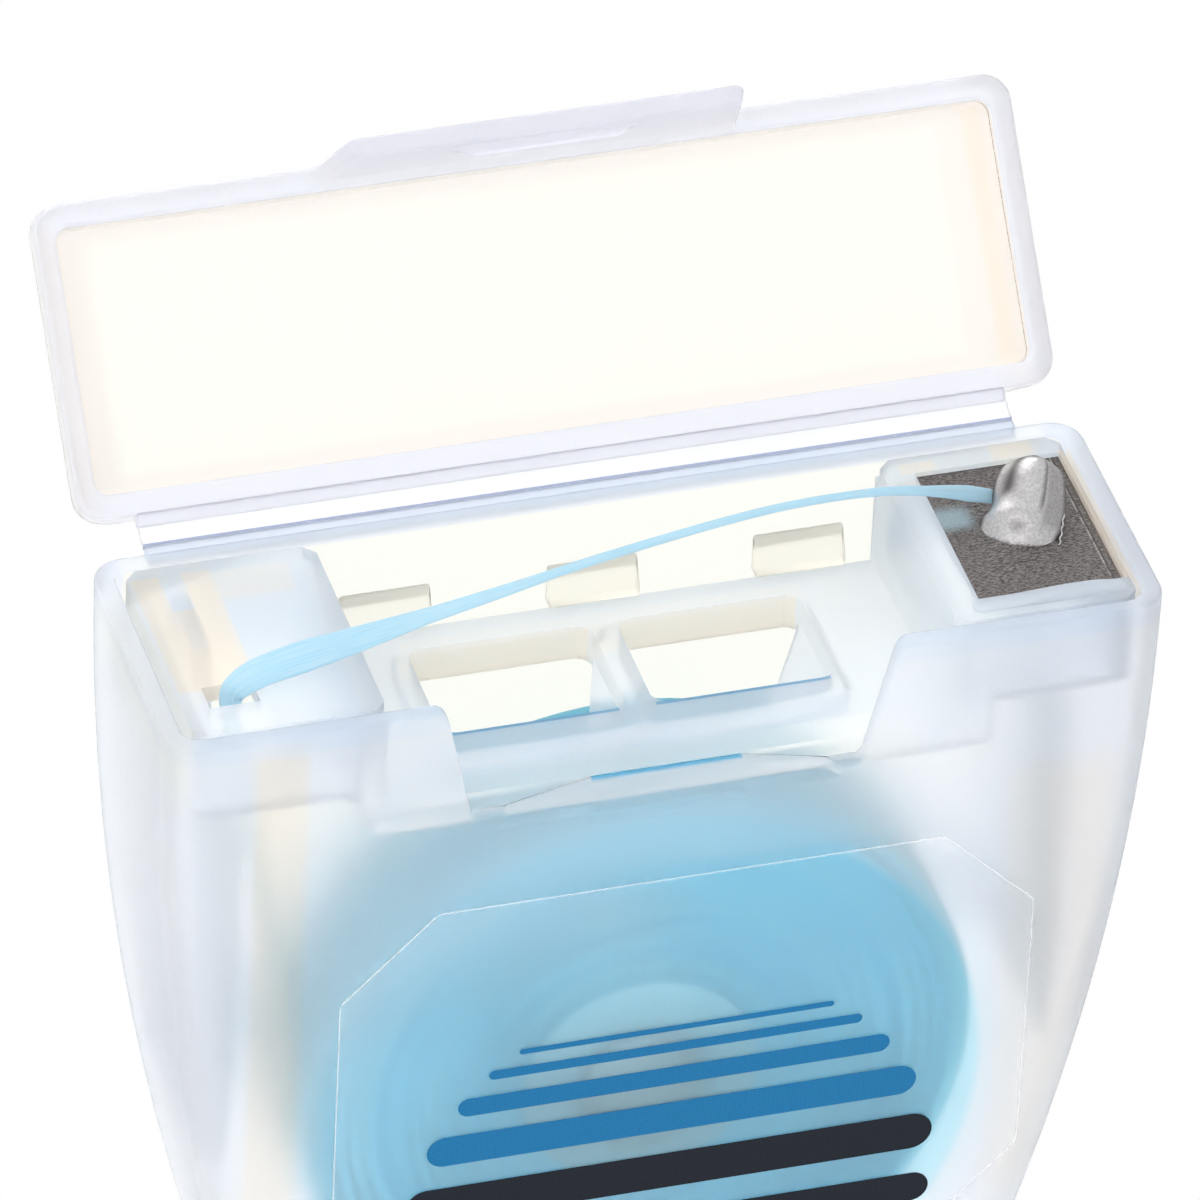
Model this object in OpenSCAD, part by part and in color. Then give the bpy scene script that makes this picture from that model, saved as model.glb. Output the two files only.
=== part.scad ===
// Flip-top dental floss dispenser with its lid open.
// Millimetres, +Z up, origin at the middle of the flat base, front wall towards -Y.

/* [Case] */
// Width of the case across its rim
case_w = 50; // [46:0.5:60]
// Depth of the case from front to back
case_d = 15.5; // [14.5:0.5:22]
// Height of the case from base to rim
case_h = 45; // [44:1:70]
// Thickness of the case walls and floor
wall = 1; // [0.8:0.1:1.2]
// Radius of the bow in each side wall, seen from the front
side_r = 155; // [130:5:400]
// Radius of the eased front corners
ease_r = 8; // [6:0.5:9]
// Radius of the bow that eases the front corners
ease_bow = 130; // [130:5:150]
// Radius of the upright back corners
corner_r = 1.6; // [1.2:0.1:3]
// Radius of the base's corners, seen from the front
foot_r = 2.5; // [1:0.5:5]
// Radius along the front and back edges of the base
base_edge_r = 1; // [0.5:0.1:2]

/* [Notch] */
// Width of the front notch at the rim
notch_w = 22.6; // [18:0.2:26]
// Depth of the notch at its two ends
notch_depth = 6.8; // [6:0.1:7.2]
// Slope of each notch side, inwards per mm of depth
notch_slope = 0.22; // [0:0.02:0.4]
// Radius of the notch shoulders at the rim
shoulder_r = 0.7; // [0.3:0.1:1.2]
// Height that the middle of the notch floor stands up
notch_rise = 1; // [0.2:0.1:1.5]
// Width of the flat middle of the notch floor
notch_flat_w = 7.6; // [4:0.2:12]
// Width of the thumb recess under the notch
recess_w = 16.4; // [10:0.2:17]
// Depth of the thumb recess into the wall
recess_depth = 0.5; // [0.2:0.1:0.6]
// Height of the thumb recess below the notch ends
recess_h = 0.6; // [0.3:0.1:2]
// Extra height of the middle of the thumb recess
recess_dip = 0.6; // [0.2:0.1:1.5]

/* [Hinge] */
// Width of the living hinge
hinge_w = 44; // [30:1:45]
// How far each hinge land stands out from its wall
land_out = 0.6; // [0.4:0.1:0.8]
// Thickness of the hinge lands
land_t = 0.8; // [0.5:0.1:1.2]
// Thickness of the hinge web
web_t = 0.3; // [0.2:0.05:0.4]
// Distance of the hinge axis behind the back wall
pivot_out = 1.1; // [1:0.1:1.5]
// Gap between the rims when the lid is shut
rim_gap = 0.1; // [0.1:0.05:0.3]
// How far the lid stands open
open_deg = 132; // [110:1:170]

/* [Lid] */
// How far each end of the lid stands in from the case
lid_inset = 0.25; // [0.1:0.05:1]
// Height of the lid
lid_h = 5.2; // [5:0.1:8]
// Thickness of the lid's top
lid_top = 1.2; // [0.8:0.1:1.3]
// Thickness of the lid's side walls
lid_side = 1; // [0.8:0.1:1.4]
// Thickness of the lid's front and back walls
lid_wall = 1.2; // [0.9:0.1:1.4]
// Radius of the lid's ends, seen from the front
lid_end_r = 4; // [2:0.5:4.5]
// Radius along the lid's front and back top edges
lid_edge_r = 1.2; // [0.5:0.1:2]
// Length of the latch tab below the lid's rim
tab_len = 5.4; // [4:0.1:5.4]
// Thickness of the latch tab
tab_t = 1; // [0.8:0.1:1.2]
// Outward lean of the tab's end
tab_lean = 0.7; // [0:0.1:0.8]
// Gap between the tab and the notch sides
tab_gap = 0.2; // [0.2:0.05:0.5]
// Width of the latch bead
bead_w = 8; // [4:0.5:12]
// How far the latch bead stands in from the tab
bead_out = 0.4; // [0.2:0.1:0.6]

/* [Insert] */
// Gap between the insert and the case's front and back walls
insert_gap = 0.15; // [0.1:0.05:0.3]
// Gap between the left block and the case
left_gap = 0.5; // [0.3:0.05:0.7]
// Gap between the right block and the case
right_gap = 0.3; // [0.3:0.05:0.5]
// Width of the left block
left_block_w = 9.5; // [8:0.1:10.5]
// Width of the right block
right_block_w = 9.2; // [9:0.1:10]
// Depth of the block tops below the rim
top_drop = 0.1; // [0.05:0.05:0.3]
// Depth of the deck below the rim
deck_drop = 6; // [5.5:0.1:6.5]
// Thickness of the insert's walls and plates
insert_t = 0.9; // [0.7:0.05:1]
// Width of each window in the deck
window_w = 9.3; // [7:0.1:9.6]
// Depth of each window, front to back
window_d = 6.7; // [5:0.1:7.2]
// Width of the bar between the two windows
window_bar = 1.3; // [1:0.1:2]
// Distance from the back wall to the windows
window_back = 2; // [1.8:0.1:2.4]
// Depth of the wells under the windows
well_h = 2; // [1:0.1:2.1]
// Length of the floss exit slot
slot_l = 2.5; // [2:0.1:3]
// Width of the floss exit slot
slot_w = 1.6; // [1.2:0.1:2]
// Distance from the left block's outer side to the slot
slot_in = 1.3; // [1:0.1:2]
// Distance from the front wall to the slot
slot_back = 2.2; // [1.8:0.1:3]
// Width of the three catches on the back wall
catch_w = 4.6; // [3:0.1:6]
// Spacing of the three catches
catch_step = 10.5; // [8:0.5:11]
// Height of the catches
catch_h = 1.9; // [1:0.1:2.4]
// How far the catches stand out from the wall
catch_out = 0.7; // [0.3:0.1:0.9]

/* [Cutter] */
// Width of the cutter plate
cutter_w = 7.3; // [6.8:0.1:7.5]
// Length of the cutter plate
cutter_l = 10.2; // [8:0.1:10.6]
// Thickness of the cutter's steel
cutter_t = 0.3; // [0.2:0.05:0.4]
// Length of the raised tongue
tongue_l = 5.2; // [4:0.1:5.4]
// Width of the tongue at its root
tongue_w = 3.4; // [2.5:0.1:3.8]
// Radius of the tongue's tip
tongue_r = 1.1; // [0.8:0.05:1.3]
// Rise of the tongue
tongue_deg = 24; // [15:1:28]
// Turn of the tongue from front to back
tongue_turn = 25; // [0:1:30]

/* [Spool] */
// Radius of the full spool
spool_r = 16.9; // [12:0.1:17]
// Width of the spool
spool_w = 9.2; // [6:0.1:9.4]
// Outer radius of the spool's core
core_r = 6; // [5:0.1:8]
// Radius of the post that carries the spool
post_r = 3; // [2.4:0.1:4]
// Running clearance between post and core
post_gap = 0.08; // [0.05:0.01:0.1]
// Gap between the spool and the case floor
spool_lift = 0.6; // [0.4:0.1:2]
// Thickness of the floss
floss_d = 0.6; // [0.4:0.05:0.7]
// Number of turns in the outer layer
turns = 8; // [4:1:8]

/* [Label] */
// Width of the front label
label_w = 35.2; // [24:0.2:36]
// Height of the front label
label_h = 25; // [20:0.5:25]
// Size of the label's cut corners
label_cut = 4.8; // [2:0.1:8]
// Height of the label above the base
label_z = 7.8; // [7:0.1:8]
// Sideways place of the label
label_x = 1.4; // [0:0.1:1.4]
// Thickness of the label's film
label_t = 0.1; // [0.05:0.05:0.15]

/* [Hidden] */
$fn = 64;
eps = 0.01;
band = 70;

// Share of the easing radius that the easing lies outside the corner at the rim.
ease_out = 0.225;

// How far the foot's rounding starts outside the bowed side.
foot_out = 0.3;

frost = [0.86, 0.91, 0.95];
clear = [0.80, 0.89, 0.96];
steel = [0.42, 0.39, 0.38];
white = [0.93, 0.95, 0.97];
blue = [0.55, 0.80, 0.93];
film = [0.90, 0.95, 0.98];

front = -case_d / 2;
back = case_d / 2;
in_front = front + wall;
in_back = back - wall;
in_half = case_w / 2 - wall;

lid_w = case_w - 2 * lid_inset;

// The hinge axis lies midway between the two rims of the shut lid.
pivot_y = back + pivot_out;
pivot_z = case_h + rim_gap / 2;

// The insert fills the case mouth between these faces.
ins_front = in_front + insert_gap;
ins_back = in_back - insert_gap;
left_x0 = -in_half + left_gap;
left_x1 = left_x0 + left_block_w;
right_x1 = in_half - right_gap;
right_x0 = right_x1 - right_block_w;
block_z = case_h - top_drop;
deck_z = case_h - deck_drop;
deck_x = (left_x1 + right_x0) / 2;
skirt_z = deck_z - 1.6;

// The windows share their back edge.
win_back = in_back - window_back;
win_front = win_back - window_d;

// The spool turns on a post between the insert's legs.
spool_z = wall + spool_lift + spool_r;
leg_x = in_half - 3.4;
leg_front = in_front + 1.9;
spool_y0 = in_front + 1.3;
spool_y1 = spool_y0 + spool_w;
bar_y0 = spool_y1 + 0.5;
pitch = (spool_w - floss_d) / turns;

// The outer turns run through straight stretches, and the pack under them just clears those.
turn_rings = 24;
turn_d = floss_d * 0.9;
turn_r = spool_r - turn_d / 2;
pack_r = turn_r * cos(180 / turn_rings) - turn_d / 2 - 0.02;

function arc(c, r, a0, a1, n) =
    [for (i = [0:n]) let (a = a0 + (a1 - a0) * i / n) [c[0] + r * cos(a), c[1] + r * sin(a)]];

// Inset of the bowed side at a depth below the rim.
function bow(depth) = side_r - sqrt(side_r * side_r - depth * depth);

// Rounded rectangle, centred.
module rounded(w, d, r) {
    union() {
        square([w - 2 * r, d], center = true);
        square([w, d - 2 * r], center = true);
        for (x = [-1, 1], y = [-1, 1]) translate([x * (w / 2 - r), y * (d / 2 - r)]) circle(r);
    }
}

// Extrudes a front-view outline through the depth, from y0 to y1.
module through_y(y0, y1) {
    translate([0, y1, 0]) rotate([90, 0, 0]) linear_extrude(y1 - y0) children();
}

// Extrudes a side-view outline (y, z) across the width, from x0 to x1.
module through_x(x0, x1) {
    translate([x0, 0, 0]) rotate([90, 0, 90]) linear_extrude(x1 - x0) children();
}

// Everything inside one bowed side wall, with a rounded back corner where r is above zero.
module bowed_half(inset, r) {
    d = case_d - 2 * inset;
    translate([-case_w / 2 + side_r, 0, case_h]) rotate([90, 0, 0]) rotate([0, 0, 170])
        rotate_extrude(angle = 50, $fn = 180) translate([side_r - inset, 0]) union() {
            translate([-band, -d / 2]) square([band - r, d]);
            if (r > 0) {
                translate([-r - eps, -d / 2 + r]) square([r + eps, d - r]);
                translate([-r, -d / 2 + r]) circle(r);
            }
        }
}

// Everything inside one front corner's easing, which is slight at the rim and grows downwards.
module eased_half(inset) {
    out = ease_out * ease_r;
    r = ease_r - inset;
    y0 = front - out + inset;
    translate([-case_w / 2 - out + ease_bow, 0, case_h]) rotate([90, 0, 0]) rotate([0, 0, 170])
        rotate_extrude(angle = 50, $fn = 180) translate([ease_bow - inset, 0]) union() {
            translate([-band, -case_d]) square([band, case_d - y0 - r]);
            translate([-band, -case_d]) square([band - r, case_d - y0]);
            translate([-r, -y0 - r]) circle(r);
        }
}

// The case's outer form, or its hollow when inset by the wall.
module case_form(inset, z0, z1, r, foot, edge) {
    intersection() {
        bowed_half(inset, r);
        mirror([1, 0, 0]) bowed_half(inset, r);
        through_x(-case_w, case_w) base_profile(case_d - 2 * inset, z0, z1, edge);
        through_y(-case_d, case_d) foot_outline(inset, z0, z1, foot);
        eased_half(inset);
        mirror([1, 0, 0]) eased_half(inset);
    }
}

// Side view that rounds the front and back edges of the base.
module base_profile(d, z0, z1, r) {
    union() {
        translate([-d / 2, z0 + r]) square([d, z1 - z0 - r]);
        translate([-d / 2 + r, z0]) square([d - 2 * r, z1 - z0]);
        for (s = [-1, 1]) translate([s * (d / 2 - r), z0 + r]) circle(r);
    }
}

// Front view that rounds the two base corners of the case.
module foot_outline(inset, z0, z1, r) {
    half = case_w / 2 - inset - bow(case_h - z0 - r) + foot_out;
    union() {
        translate([-half, z0 + r]) square([2 * half, r]);
        translate([-case_w, z0 + 2 * r]) square([2 * case_w, z1 - z0 - 2 * r]);
        translate([-half + r, z0]) square([2 * half - 2 * r, 3 * r]);
        for (s = [-1, 1]) translate([s * (half - r), z0 + r]) circle(r);
    }
}

// Half-width of the notch at a depth below the rim, less a gap.
function notch_half(depth, gap) = notch_w / 2 - gap - notch_slope * depth;

// Front view of the notch, open at the top.
module notch_outline() {
    w0 = notch_half(0, 0);
    w1 = notch_half(notch_depth, 0);
    flat = notch_flat_w / 2;
    low = case_h - notch_depth;
    union() {
        polygon([[-w1, low], [-recess_w / 2, low], [-flat, low + notch_rise], [flat, low + notch_rise],
            [recess_w / 2, low], [w1, low], [w0, case_h], [w0, case_h + 2], [-w0, case_h + 2],
            [-w0, case_h]]);
        for (s = [-1, 1]) translate([s * w0, case_h]) difference() {
            translate([-shoulder_r, -shoulder_r]) square([2 * shoulder_r, shoulder_r + 1]);
            translate([s * shoulder_r, -shoulder_r]) circle(shoulder_r);
            translate([s > 0 ? shoulder_r : -2 * shoulder_r, -2 * shoulder_r])
                square([shoulder_r, 2 * shoulder_r + 2]);
        }
    }
}

// Front view of the thumb recess, from the notch down.
module recess_outline() {
    low = case_h - notch_depth;
    flat = notch_flat_w / 2;
    union() {
        translate([-recess_w / 2, low - recess_h]) square([recess_w, recess_h + notch_rise]);
        translate([-flat, low - recess_h - recess_dip]) square([2 * flat, recess_dip + eps]);
    }
}

// A long strip that carries one edge of the hinge web.
module hinge_land(z0) {
    translate([-hinge_w / 2, back - eps, z0]) cube([hinge_w, land_out + eps, land_t]);
}

module case_shell() {
    color(frost) {
        difference() {
            case_form(0, 0, case_h, corner_r, foot_r, base_edge_r);
            case_form(wall, wall, case_h + 1, 0, foot_r - 0.5, base_edge_r - 0.4);
            through_y(front - 1, in_front + eps) notch_outline();
            through_y(front - 1, front + recess_depth) recess_outline();
        }
        hinge_land(case_h - land_t);
        for (i = [-1:1]) back_catch(i * catch_step);
    }
}

// A wedge on the back wall that holds the deck down.
module back_catch(x) {
    z0 = deck_z + 0.2;
    through_x(x + deck_x - catch_w / 2, x + deck_x + catch_w / 2) polygon([[in_back + eps, z0],
        [in_back - catch_out, z0], [in_back - catch_out, z0 + 0.5], [in_back + eps, z0 + catch_h]]);
}

// Turns what is drawn as shut to where the lid stands open.
module opened() {
    translate([0, pivot_y, pivot_z]) rotate([-open_deg, 0, 0]) translate([0, -pivot_y, -pivot_z]) children();
}

// The lid's form when shut, rounded along its top edges.
module lid_form(w, y0, y1, h, end_r, edge_r, z0) {
    d = y1 - y0;
    mid = (y0 + y1) / 2;
    plan_r = 1.2 + (w - lid_w) / 2 + eps;
    intersection() {
        translate([0, mid, z0]) linear_extrude(h) rounded(w, d, max(plan_r, 0.3));
        through_y(y0 - 1, y1 + 1) union() {
            translate([-w / 2, z0 - 1]) square([w, h + 1 - end_r]);
            translate([-w / 2 + end_r, z0]) square([w - 2 * end_r, h]);
            for (s = [-1, 1]) translate([s * (w / 2 - end_r), z0 + h - end_r]) circle(end_r);
        }
        through_x(-w, w) union() {
            translate([y0, z0 - 1]) square([d, h + 1 - edge_r]);
            translate([y0 + edge_r, z0]) square([d - 2 * edge_r, h]);
            for (s = [-1, 1]) translate([mid + s * (d / 2 - edge_r), z0 + h - edge_r]) circle(edge_r);
        }
    }
}

// Front view of the latch tab, which clears the notch all round.
module tab_outline(z0) {
    w0 = notch_half(0, tab_gap) - shoulder_r / 2;
    w1 = notch_half(tab_len, tab_gap);
    polygon([[-w1, z0 - tab_len], [w1, z0 - tab_len], [w0, z0], [w0, z0 + 1], [-w0, z0 + 1], [-w0, z0]]);
}

// Side view of the latch tab, which leans out towards its end.
module tab_profile(z0) {
    y0 = front;
    polygon([[y0, z0 + 1], [y0, z0], [y0 - tab_lean, z0 - tab_len], [y0 - tab_lean + tab_t, z0 - tab_len],
        [y0 + tab_t, z0], [y0 + tab_t, z0 + 1]]);
}

// A ridge across the inside of the tab.
module latch_bead(z0) {
    z = z0 - 0.75 * tab_len;
    y = front + tab_t - 0.75 * tab_lean;
    through_x(-bead_w / 2, bead_w / 2) polygon([[y - 0.3, z - 0.5], [y + bead_out, z - 0.15],
        [y + bead_out, z + 0.15], [y - 0.3, z + 0.7]]);
}

module lid_shell() {
    z0 = case_h + rim_gap;
    color(frost) opened() {
        difference() {
            lid_form(lid_w, front, back, lid_h, lid_end_r, lid_edge_r, z0);
            lid_form(lid_w - 2 * lid_side, front + lid_wall, back - lid_wall, lid_h - lid_top,
                lid_end_r - lid_side, lid_edge_r - 0.4, z0);
            translate([0, 0, z0 - 1]) linear_extrude(1.5)
                rounded(lid_w - 2 * lid_side, case_d - 2 * lid_wall, 0.3);
        }
        hinge_land(z0);
        intersection() {
            through_y(front - 2, front + 3) tab_outline(z0);
            through_x(-lid_w, lid_w) tab_profile(z0);
        }
        latch_bead(z0);
    }
}

// The web bends evenly from one land to the other.
module hinge_web() {
    bend = 180 - open_deg;
    drop = web_t / 2 + rim_gap / 2;
    reach = pivot_out - land_out + drop * tan(bend / 2);
    r = reach / tan(bend / 2);
    cy = back + land_out;
    cz = case_h - web_t / 2 + r;
    color(white) through_x(-hinge_w / 2, hinge_w / 2) polygon(concat(
        arc([cy, cz], r + web_t / 2, -90, -90 + bend, 16), arc([cy, cz], r - web_t / 2, -90 + bend, -90, 16)));
}

// A raised block, open underneath.
module block(x0, x1, z0) {
    cut = 0.6;
    difference() {
        translate([0, 0, z0]) linear_extrude(block_z - z0) polygon([[x0, ins_front + cut],
            [x0 + cut, ins_front], [x1 - cut, ins_front], [x1, ins_front + cut], [x1, ins_back - cut],
            [x1 - cut, ins_back], [x0 + cut, ins_back], [x0, ins_back - cut]]);
        translate([x0 + insert_t, ins_front + insert_t, z0 - 1])
            cube([x1 - x0 - 2 * insert_t, ins_back - ins_front - 2 * insert_t, block_z - z0 + 1 - insert_t]);
    }
}

// One window with its well wall, cut or solid.
module window_well(x0, grow, z0, z1) {
    translate([x0 + window_w / 2, (win_front + win_back) / 2, z0]) linear_extrude(z1 - z0)
        rounded(window_w + 2 * grow, window_d + 2 * grow, 0.8);
}

// A three-cornered ledge at the foot of a well.
module well_ledge(x1, run) {
    translate([0, 0, deck_z - well_h]) linear_extrude(0.6) polygon([[x1 + 0.3, win_back],
        [x1 - run, win_front - 0.3], [x1 + 0.3, win_front - 0.3]]);
}

// Front apron under the deck, carried up in front of the two blocks.
module apron() {
    a = left_x1 - 0.45;
    b = right_x0 + 2.05;
    top = block_z - 0.5;
    through_y(ins_front, ins_front + insert_t) polygon([[a, skirt_z], [b, skirt_z], [b, deck_z + 1],
        [b + 1.1, deck_z + 1.3], [b + 1.1, top], [right_x0 + eps, top], [right_x0 + eps, deck_z - eps],
        [left_x1 - eps, deck_z - eps], [left_x1 - eps, top], [a - 1.35, top], [a - 1.35, deck_z + 0.7],
        [a, deck_z + 0.4]]);
}

// A side leg from a block to the cross bar, tapered to clear the bowed wall.
module leg(x_in, s) {
    x_out = x_in + s * insert_t;
    z_bend = spool_z + 4.8;
    z_low = spool_z - 1.5;
    difference() {
        through_y(leg_front, bar_y0 + insert_t) polygon([[x_in, block_z - 0.5], [x_out, block_z - 0.5],
            [x_out, z_bend], [x_in + s * 0.65, z_low], [x_in + s * 0.3, z_low], [x_in, z_bend]]);
        translate([-case_w, front, deck_z - 2]) cube([2 * case_w, case_d / 2 + 0.75, case_h]);
    }
}

// The cross bar behind the spool, and the post that carries it.
module spool_carrier(x0, x1) {
    translate([x0 - 0.5, bar_y0, spool_z - 1.5]) cube([x1 - x0 + 1, insert_t, 5]);
    through_y(bar_y0, bar_y0 + insert_t) translate([0, spool_z]) circle(post_r + 2);
    through_y(spool_y0 - 0.3, bar_y0 + eps) translate([0, spool_z]) circle(post_r);
    through_y(spool_y0 - 0.8, spool_y0 - 0.3) translate([0, spool_z]) circle(post_r + 0.5);
}

// Pocket in the right block that the cutter lies in.
cutter_x1 = right_x1 - insert_t + 0.6;
cutter_x0 = cutter_x1 - cutter_w;
cutter_y0 = ins_front + 1.65;
cutter_y1 = cutter_y0 + cutter_l;
pocket = 0.5;
cutter_z = block_z - pocket;
tongue_root = [(cutter_x0 + cutter_x1) / 2 - 0.7, cutter_y0 + 0.32 * cutter_l];

module cutter_pocket() {
    g = 0.05;
    translate([cutter_x0 - g, cutter_y0 - g, cutter_z]) cube([cutter_w + 2 * g, cutter_l + 2 * g, pocket + 1]);
    for (x = [cutter_x0, cutter_x1 - cutter_t]) translate([x - g, cutter_y0 + 2.5 - g, cutter_z - 2])
        cube([cutter_t + 2 * g, cutter_l - 5 + 2 * g, 3]);
}

module insert_frame() {
    color(clear) difference() {
        union() {
            block(left_x0, left_x1, deck_z + 1);
            block(right_x0, right_x1, deck_z + 1);
            for (x = [left_x1 - insert_t, right_x0]) translate([x, ins_front, deck_z - insert_t])
                cube([insert_t, ins_back - ins_front, block_z - deck_z]);
            translate([left_x1 - insert_t, ins_front, deck_z - insert_t])
                cube([right_x0 - left_x1 + 2 * insert_t, ins_back - ins_front - 0.15, insert_t]);
            for (i = [0, 1]) window_well(win_x(i), insert_t - 0.2, deck_z - well_h, deck_z);
            apron();
            leg(-leg_x, -1);
            leg(leg_x, 1);
            spool_carrier(-leg_x, leg_x);
            translate([right_x0 + 1.2, ins_front + 0.6, block_z - eps])
                cube([right_x1 - right_x0 - 2, insert_t, 0.3]);
        }
        for (i = [0, 1]) difference() {
            window_well(win_x(i), 0, deck_z - well_h - 1, deck_z + 1);
            well_ledge(win_x(i) + window_w, i == 0 ? 2.1 : 3.6);
        }
        translate([left_x0 + slot_in, in_front + slot_back, block_z - 3]) cube([slot_l, slot_w, 4]);
        cutter_pocket();
    }
}

// Left edge of each window.
function win_x(i) = deck_x - window_w - window_bar / 2 + i * (window_w + window_bar);

// Plan of the tongue from its root at the origin towards +Y.
module tongue_plan(grow) {
    union() {
        polygon([[-tongue_w / 2 - grow, 0], [tongue_w / 2 + grow, 0],
            [tongue_r + grow, tongue_l - tongue_r], [-tongue_r - grow, tongue_l - tongue_r]]);
        translate([0, tongue_l - tongue_r]) circle(tongue_r + grow);
    }
}

module cutter_plate() {
    root = tongue_root;
    color(steel) {
        difference() {
            translate([cutter_x0, cutter_y0, cutter_z]) cube([cutter_w, cutter_l, cutter_t]);
            translate([root[0], root[1], cutter_z - 1]) rotate(-tongue_turn) linear_extrude(3)
                tongue_plan(0.2);
        }
        translate([root[0], root[1], cutter_z]) rotate(-tongue_turn) rotate([tongue_deg, 0, 0])
            translate([0, -0.1, 0.05]) linear_extrude(cutter_t) tongue_plan(0);
        for (x = [cutter_x0, cutter_x1 - cutter_t]) translate([x, cutter_y0 + 2.5, cutter_z - 1.9])
            cube([cutter_t, cutter_l - 5, 1.9 + cutter_t]);
    }
}

module spool_core() {
    color(white) through_y(spool_y0, spool_y1) translate([0, spool_z]) difference() {
        circle(core_r);
        circle(post_r + post_gap);
    }
}

module floss_pack() {
    color(blue) through_y(spool_y0 + 0.1, spool_y1 - 0.1) translate([0, spool_z]) difference() {
        circle(pack_r, $fn = 96);
        circle(core_r + 0.02);
    }
}

// Sweeps a round tube along points, with its rings square to the run.
function unit(v) = v / norm(v);
function run_at(p, i) = unit(p[min(i + 1, len(p) - 1)] - p[max(i - 1, 0)]);
function ring(p, i, r, n, up) =
    let (t = run_at(p, i), s = unit(cross(t, up)), u = cross(s, t))
    [for (k = [0:n - 1]) p[i] + r * (cos(360 * k / n) * s + sin(360 * k / n) * u)];

module tube(p, r, n, up) {
    m = len(p);
    points = [for (i = [0:m - 1]) each ring(p, i, r, n, up)];
    sides = [for (i = [0:m - 2], k = [0:n - 1]) let (a = i * n + k, b = i * n + (k + 1) % n)
        each [[a, b, b + n], [a, b + n, a + n]]];
    first = [for (k = [1:n - 2]) [0, k + 1, k]];
    last = [for (k = [1:n - 2]) [(m - 1) * n, (m - 1) * n + k, (m - 1) * n + k + 1]];
    polyhedron(points, concat(sides, first, last));
}

// One unbroken layer of turns round the pack, spiralling from the front to the back.
winding = [for (i = [0:turn_rings * turns]) let (a = 180 - 360 * i / turn_rings)
    [turn_r * cos(a), spool_y0 + floss_d / 2 + pitch * i / turn_rings, spool_z + turn_r * sin(a)]];
turn_gap = min([for (i = [0:turn_rings * (turns - 1)]) norm(winding[i + turn_rings] - winding[i])]) - turn_d;
echo(turn_gap = turn_gap);

module floss_turns() {
    color(blue) tube(winding, turn_d / 2, 6, [0, 1, 0]);
}

// The floss leaves the insert inside the exit slot, and is held at the grip, under the cutter's tongue.
exit_point = [left_x0 + slot_in + slot_l / 2, in_front + slot_back + slot_w / 2, case_h - 1];
grip_point = [tongue_root[0] + 0.25, tongue_root[1] + 3.9, cutter_z + cutter_t + floss_d / 2 + 0.1];

// Hidden run down to the spool's left side: share of the way across, share of the way down.
lead_shares = [[0, 0], [0, 0.03], [0.06, 0.1], [0.26, 0.23], [0.52, 0.42], [0.77, 0.61], [0.93, 0.79], [1, 0.92],
    [1, 1]];
lead_end = [-spool_r - 0.8, exit_point[1] - 0.2, spool_z - 0.5];
lead_route = [for (p = lead_shares) [exit_point[0] + p[0] * (lead_end[0] - exit_point[0]),
    exit_point[1] + p[1] * (lead_end[1] - exit_point[1]), exit_point[2] + p[1] * (lead_end[2] - exit_point[2])]];

// Free strand: shares of the way from exit to grip in x and in y, and the height above the rim.
strand_shares = [[0, 0, -1], [0, 0, -0.3], [0.004, -0.034, 0.4], [0.03, -0.02, 1], [0.08, 0.03, 1.3],
    [0.147, 0.1, 1.5], [0.237, 0.2, 1.8], [0.341, 0.3, 2.2], [0.47, 0.435, 2.7], [0.627, 0.603, 3],
    [0.734, 0.72, 2.9], [0.841, 0.84, 2.3], [0.921, 0.92, 1.4], [0.978, 0.985, 0.5],
    [1, 1, grip_point[2] - case_h]];
strand_route = [for (p = strand_shares) [exit_point[0] + p[0] * (grip_point[0] - exit_point[0]),
    exit_point[1] + p[1] * (grip_point[1] - exit_point[1]), case_h + p[2]]];
echo(strand_route = strand_route);
echo(lead_route = lead_route);

// Splits each stretch of a route so that the rings lie closer together.
function fine(p, n) = concat([for (i = [0:len(p) - 2], k = [0:n - 1])
    let (t = k / n, a = p[max(i - 1, 0)], b = p[i], c = p[i + 1], d = p[min(i + 2, len(p) - 1)])
    0.5 * (2 * b + t * (c - a) + t * t * (2 * a - 5 * b + 4 * c - d)
        + t * t * t * (3 * b - a - 3 * c + d))], [p[len(p) - 1]]);

module floss_lead() {
    color(blue) tube(fine(lead_route, 3), floss_d / 2, 8, [0, 1, 0]);
}

module floss_strand() {
    color(blue) tube(fine(strand_route, 3), floss_d / 2, 8, [0, 1, 0]);
}

module front_label() {
    w = label_w / 2;
    h = label_h;
    c = label_cut;
    color(film) through_y(front - label_t, front) translate([label_x, label_z]) polygon([[-w + c, 0],
        [w - c, 0], [w, c], [w, h - c], [w - c, h], [-w + c, h], [-w, h - c], [-w, c]]);
}

case_shell();
hinge_web();
lid_shell();
insert_frame();
cutter_plate();
spool_core();
floss_pack();
floss_turns();
floss_lead();
floss_strand();
front_label();
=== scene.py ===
"""Flip-top dental floss dispenser, standing with its lid open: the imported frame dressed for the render."""

import math

import bmesh
import bpy
import numpy as np
from mathutils import Matrix, Vector


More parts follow.
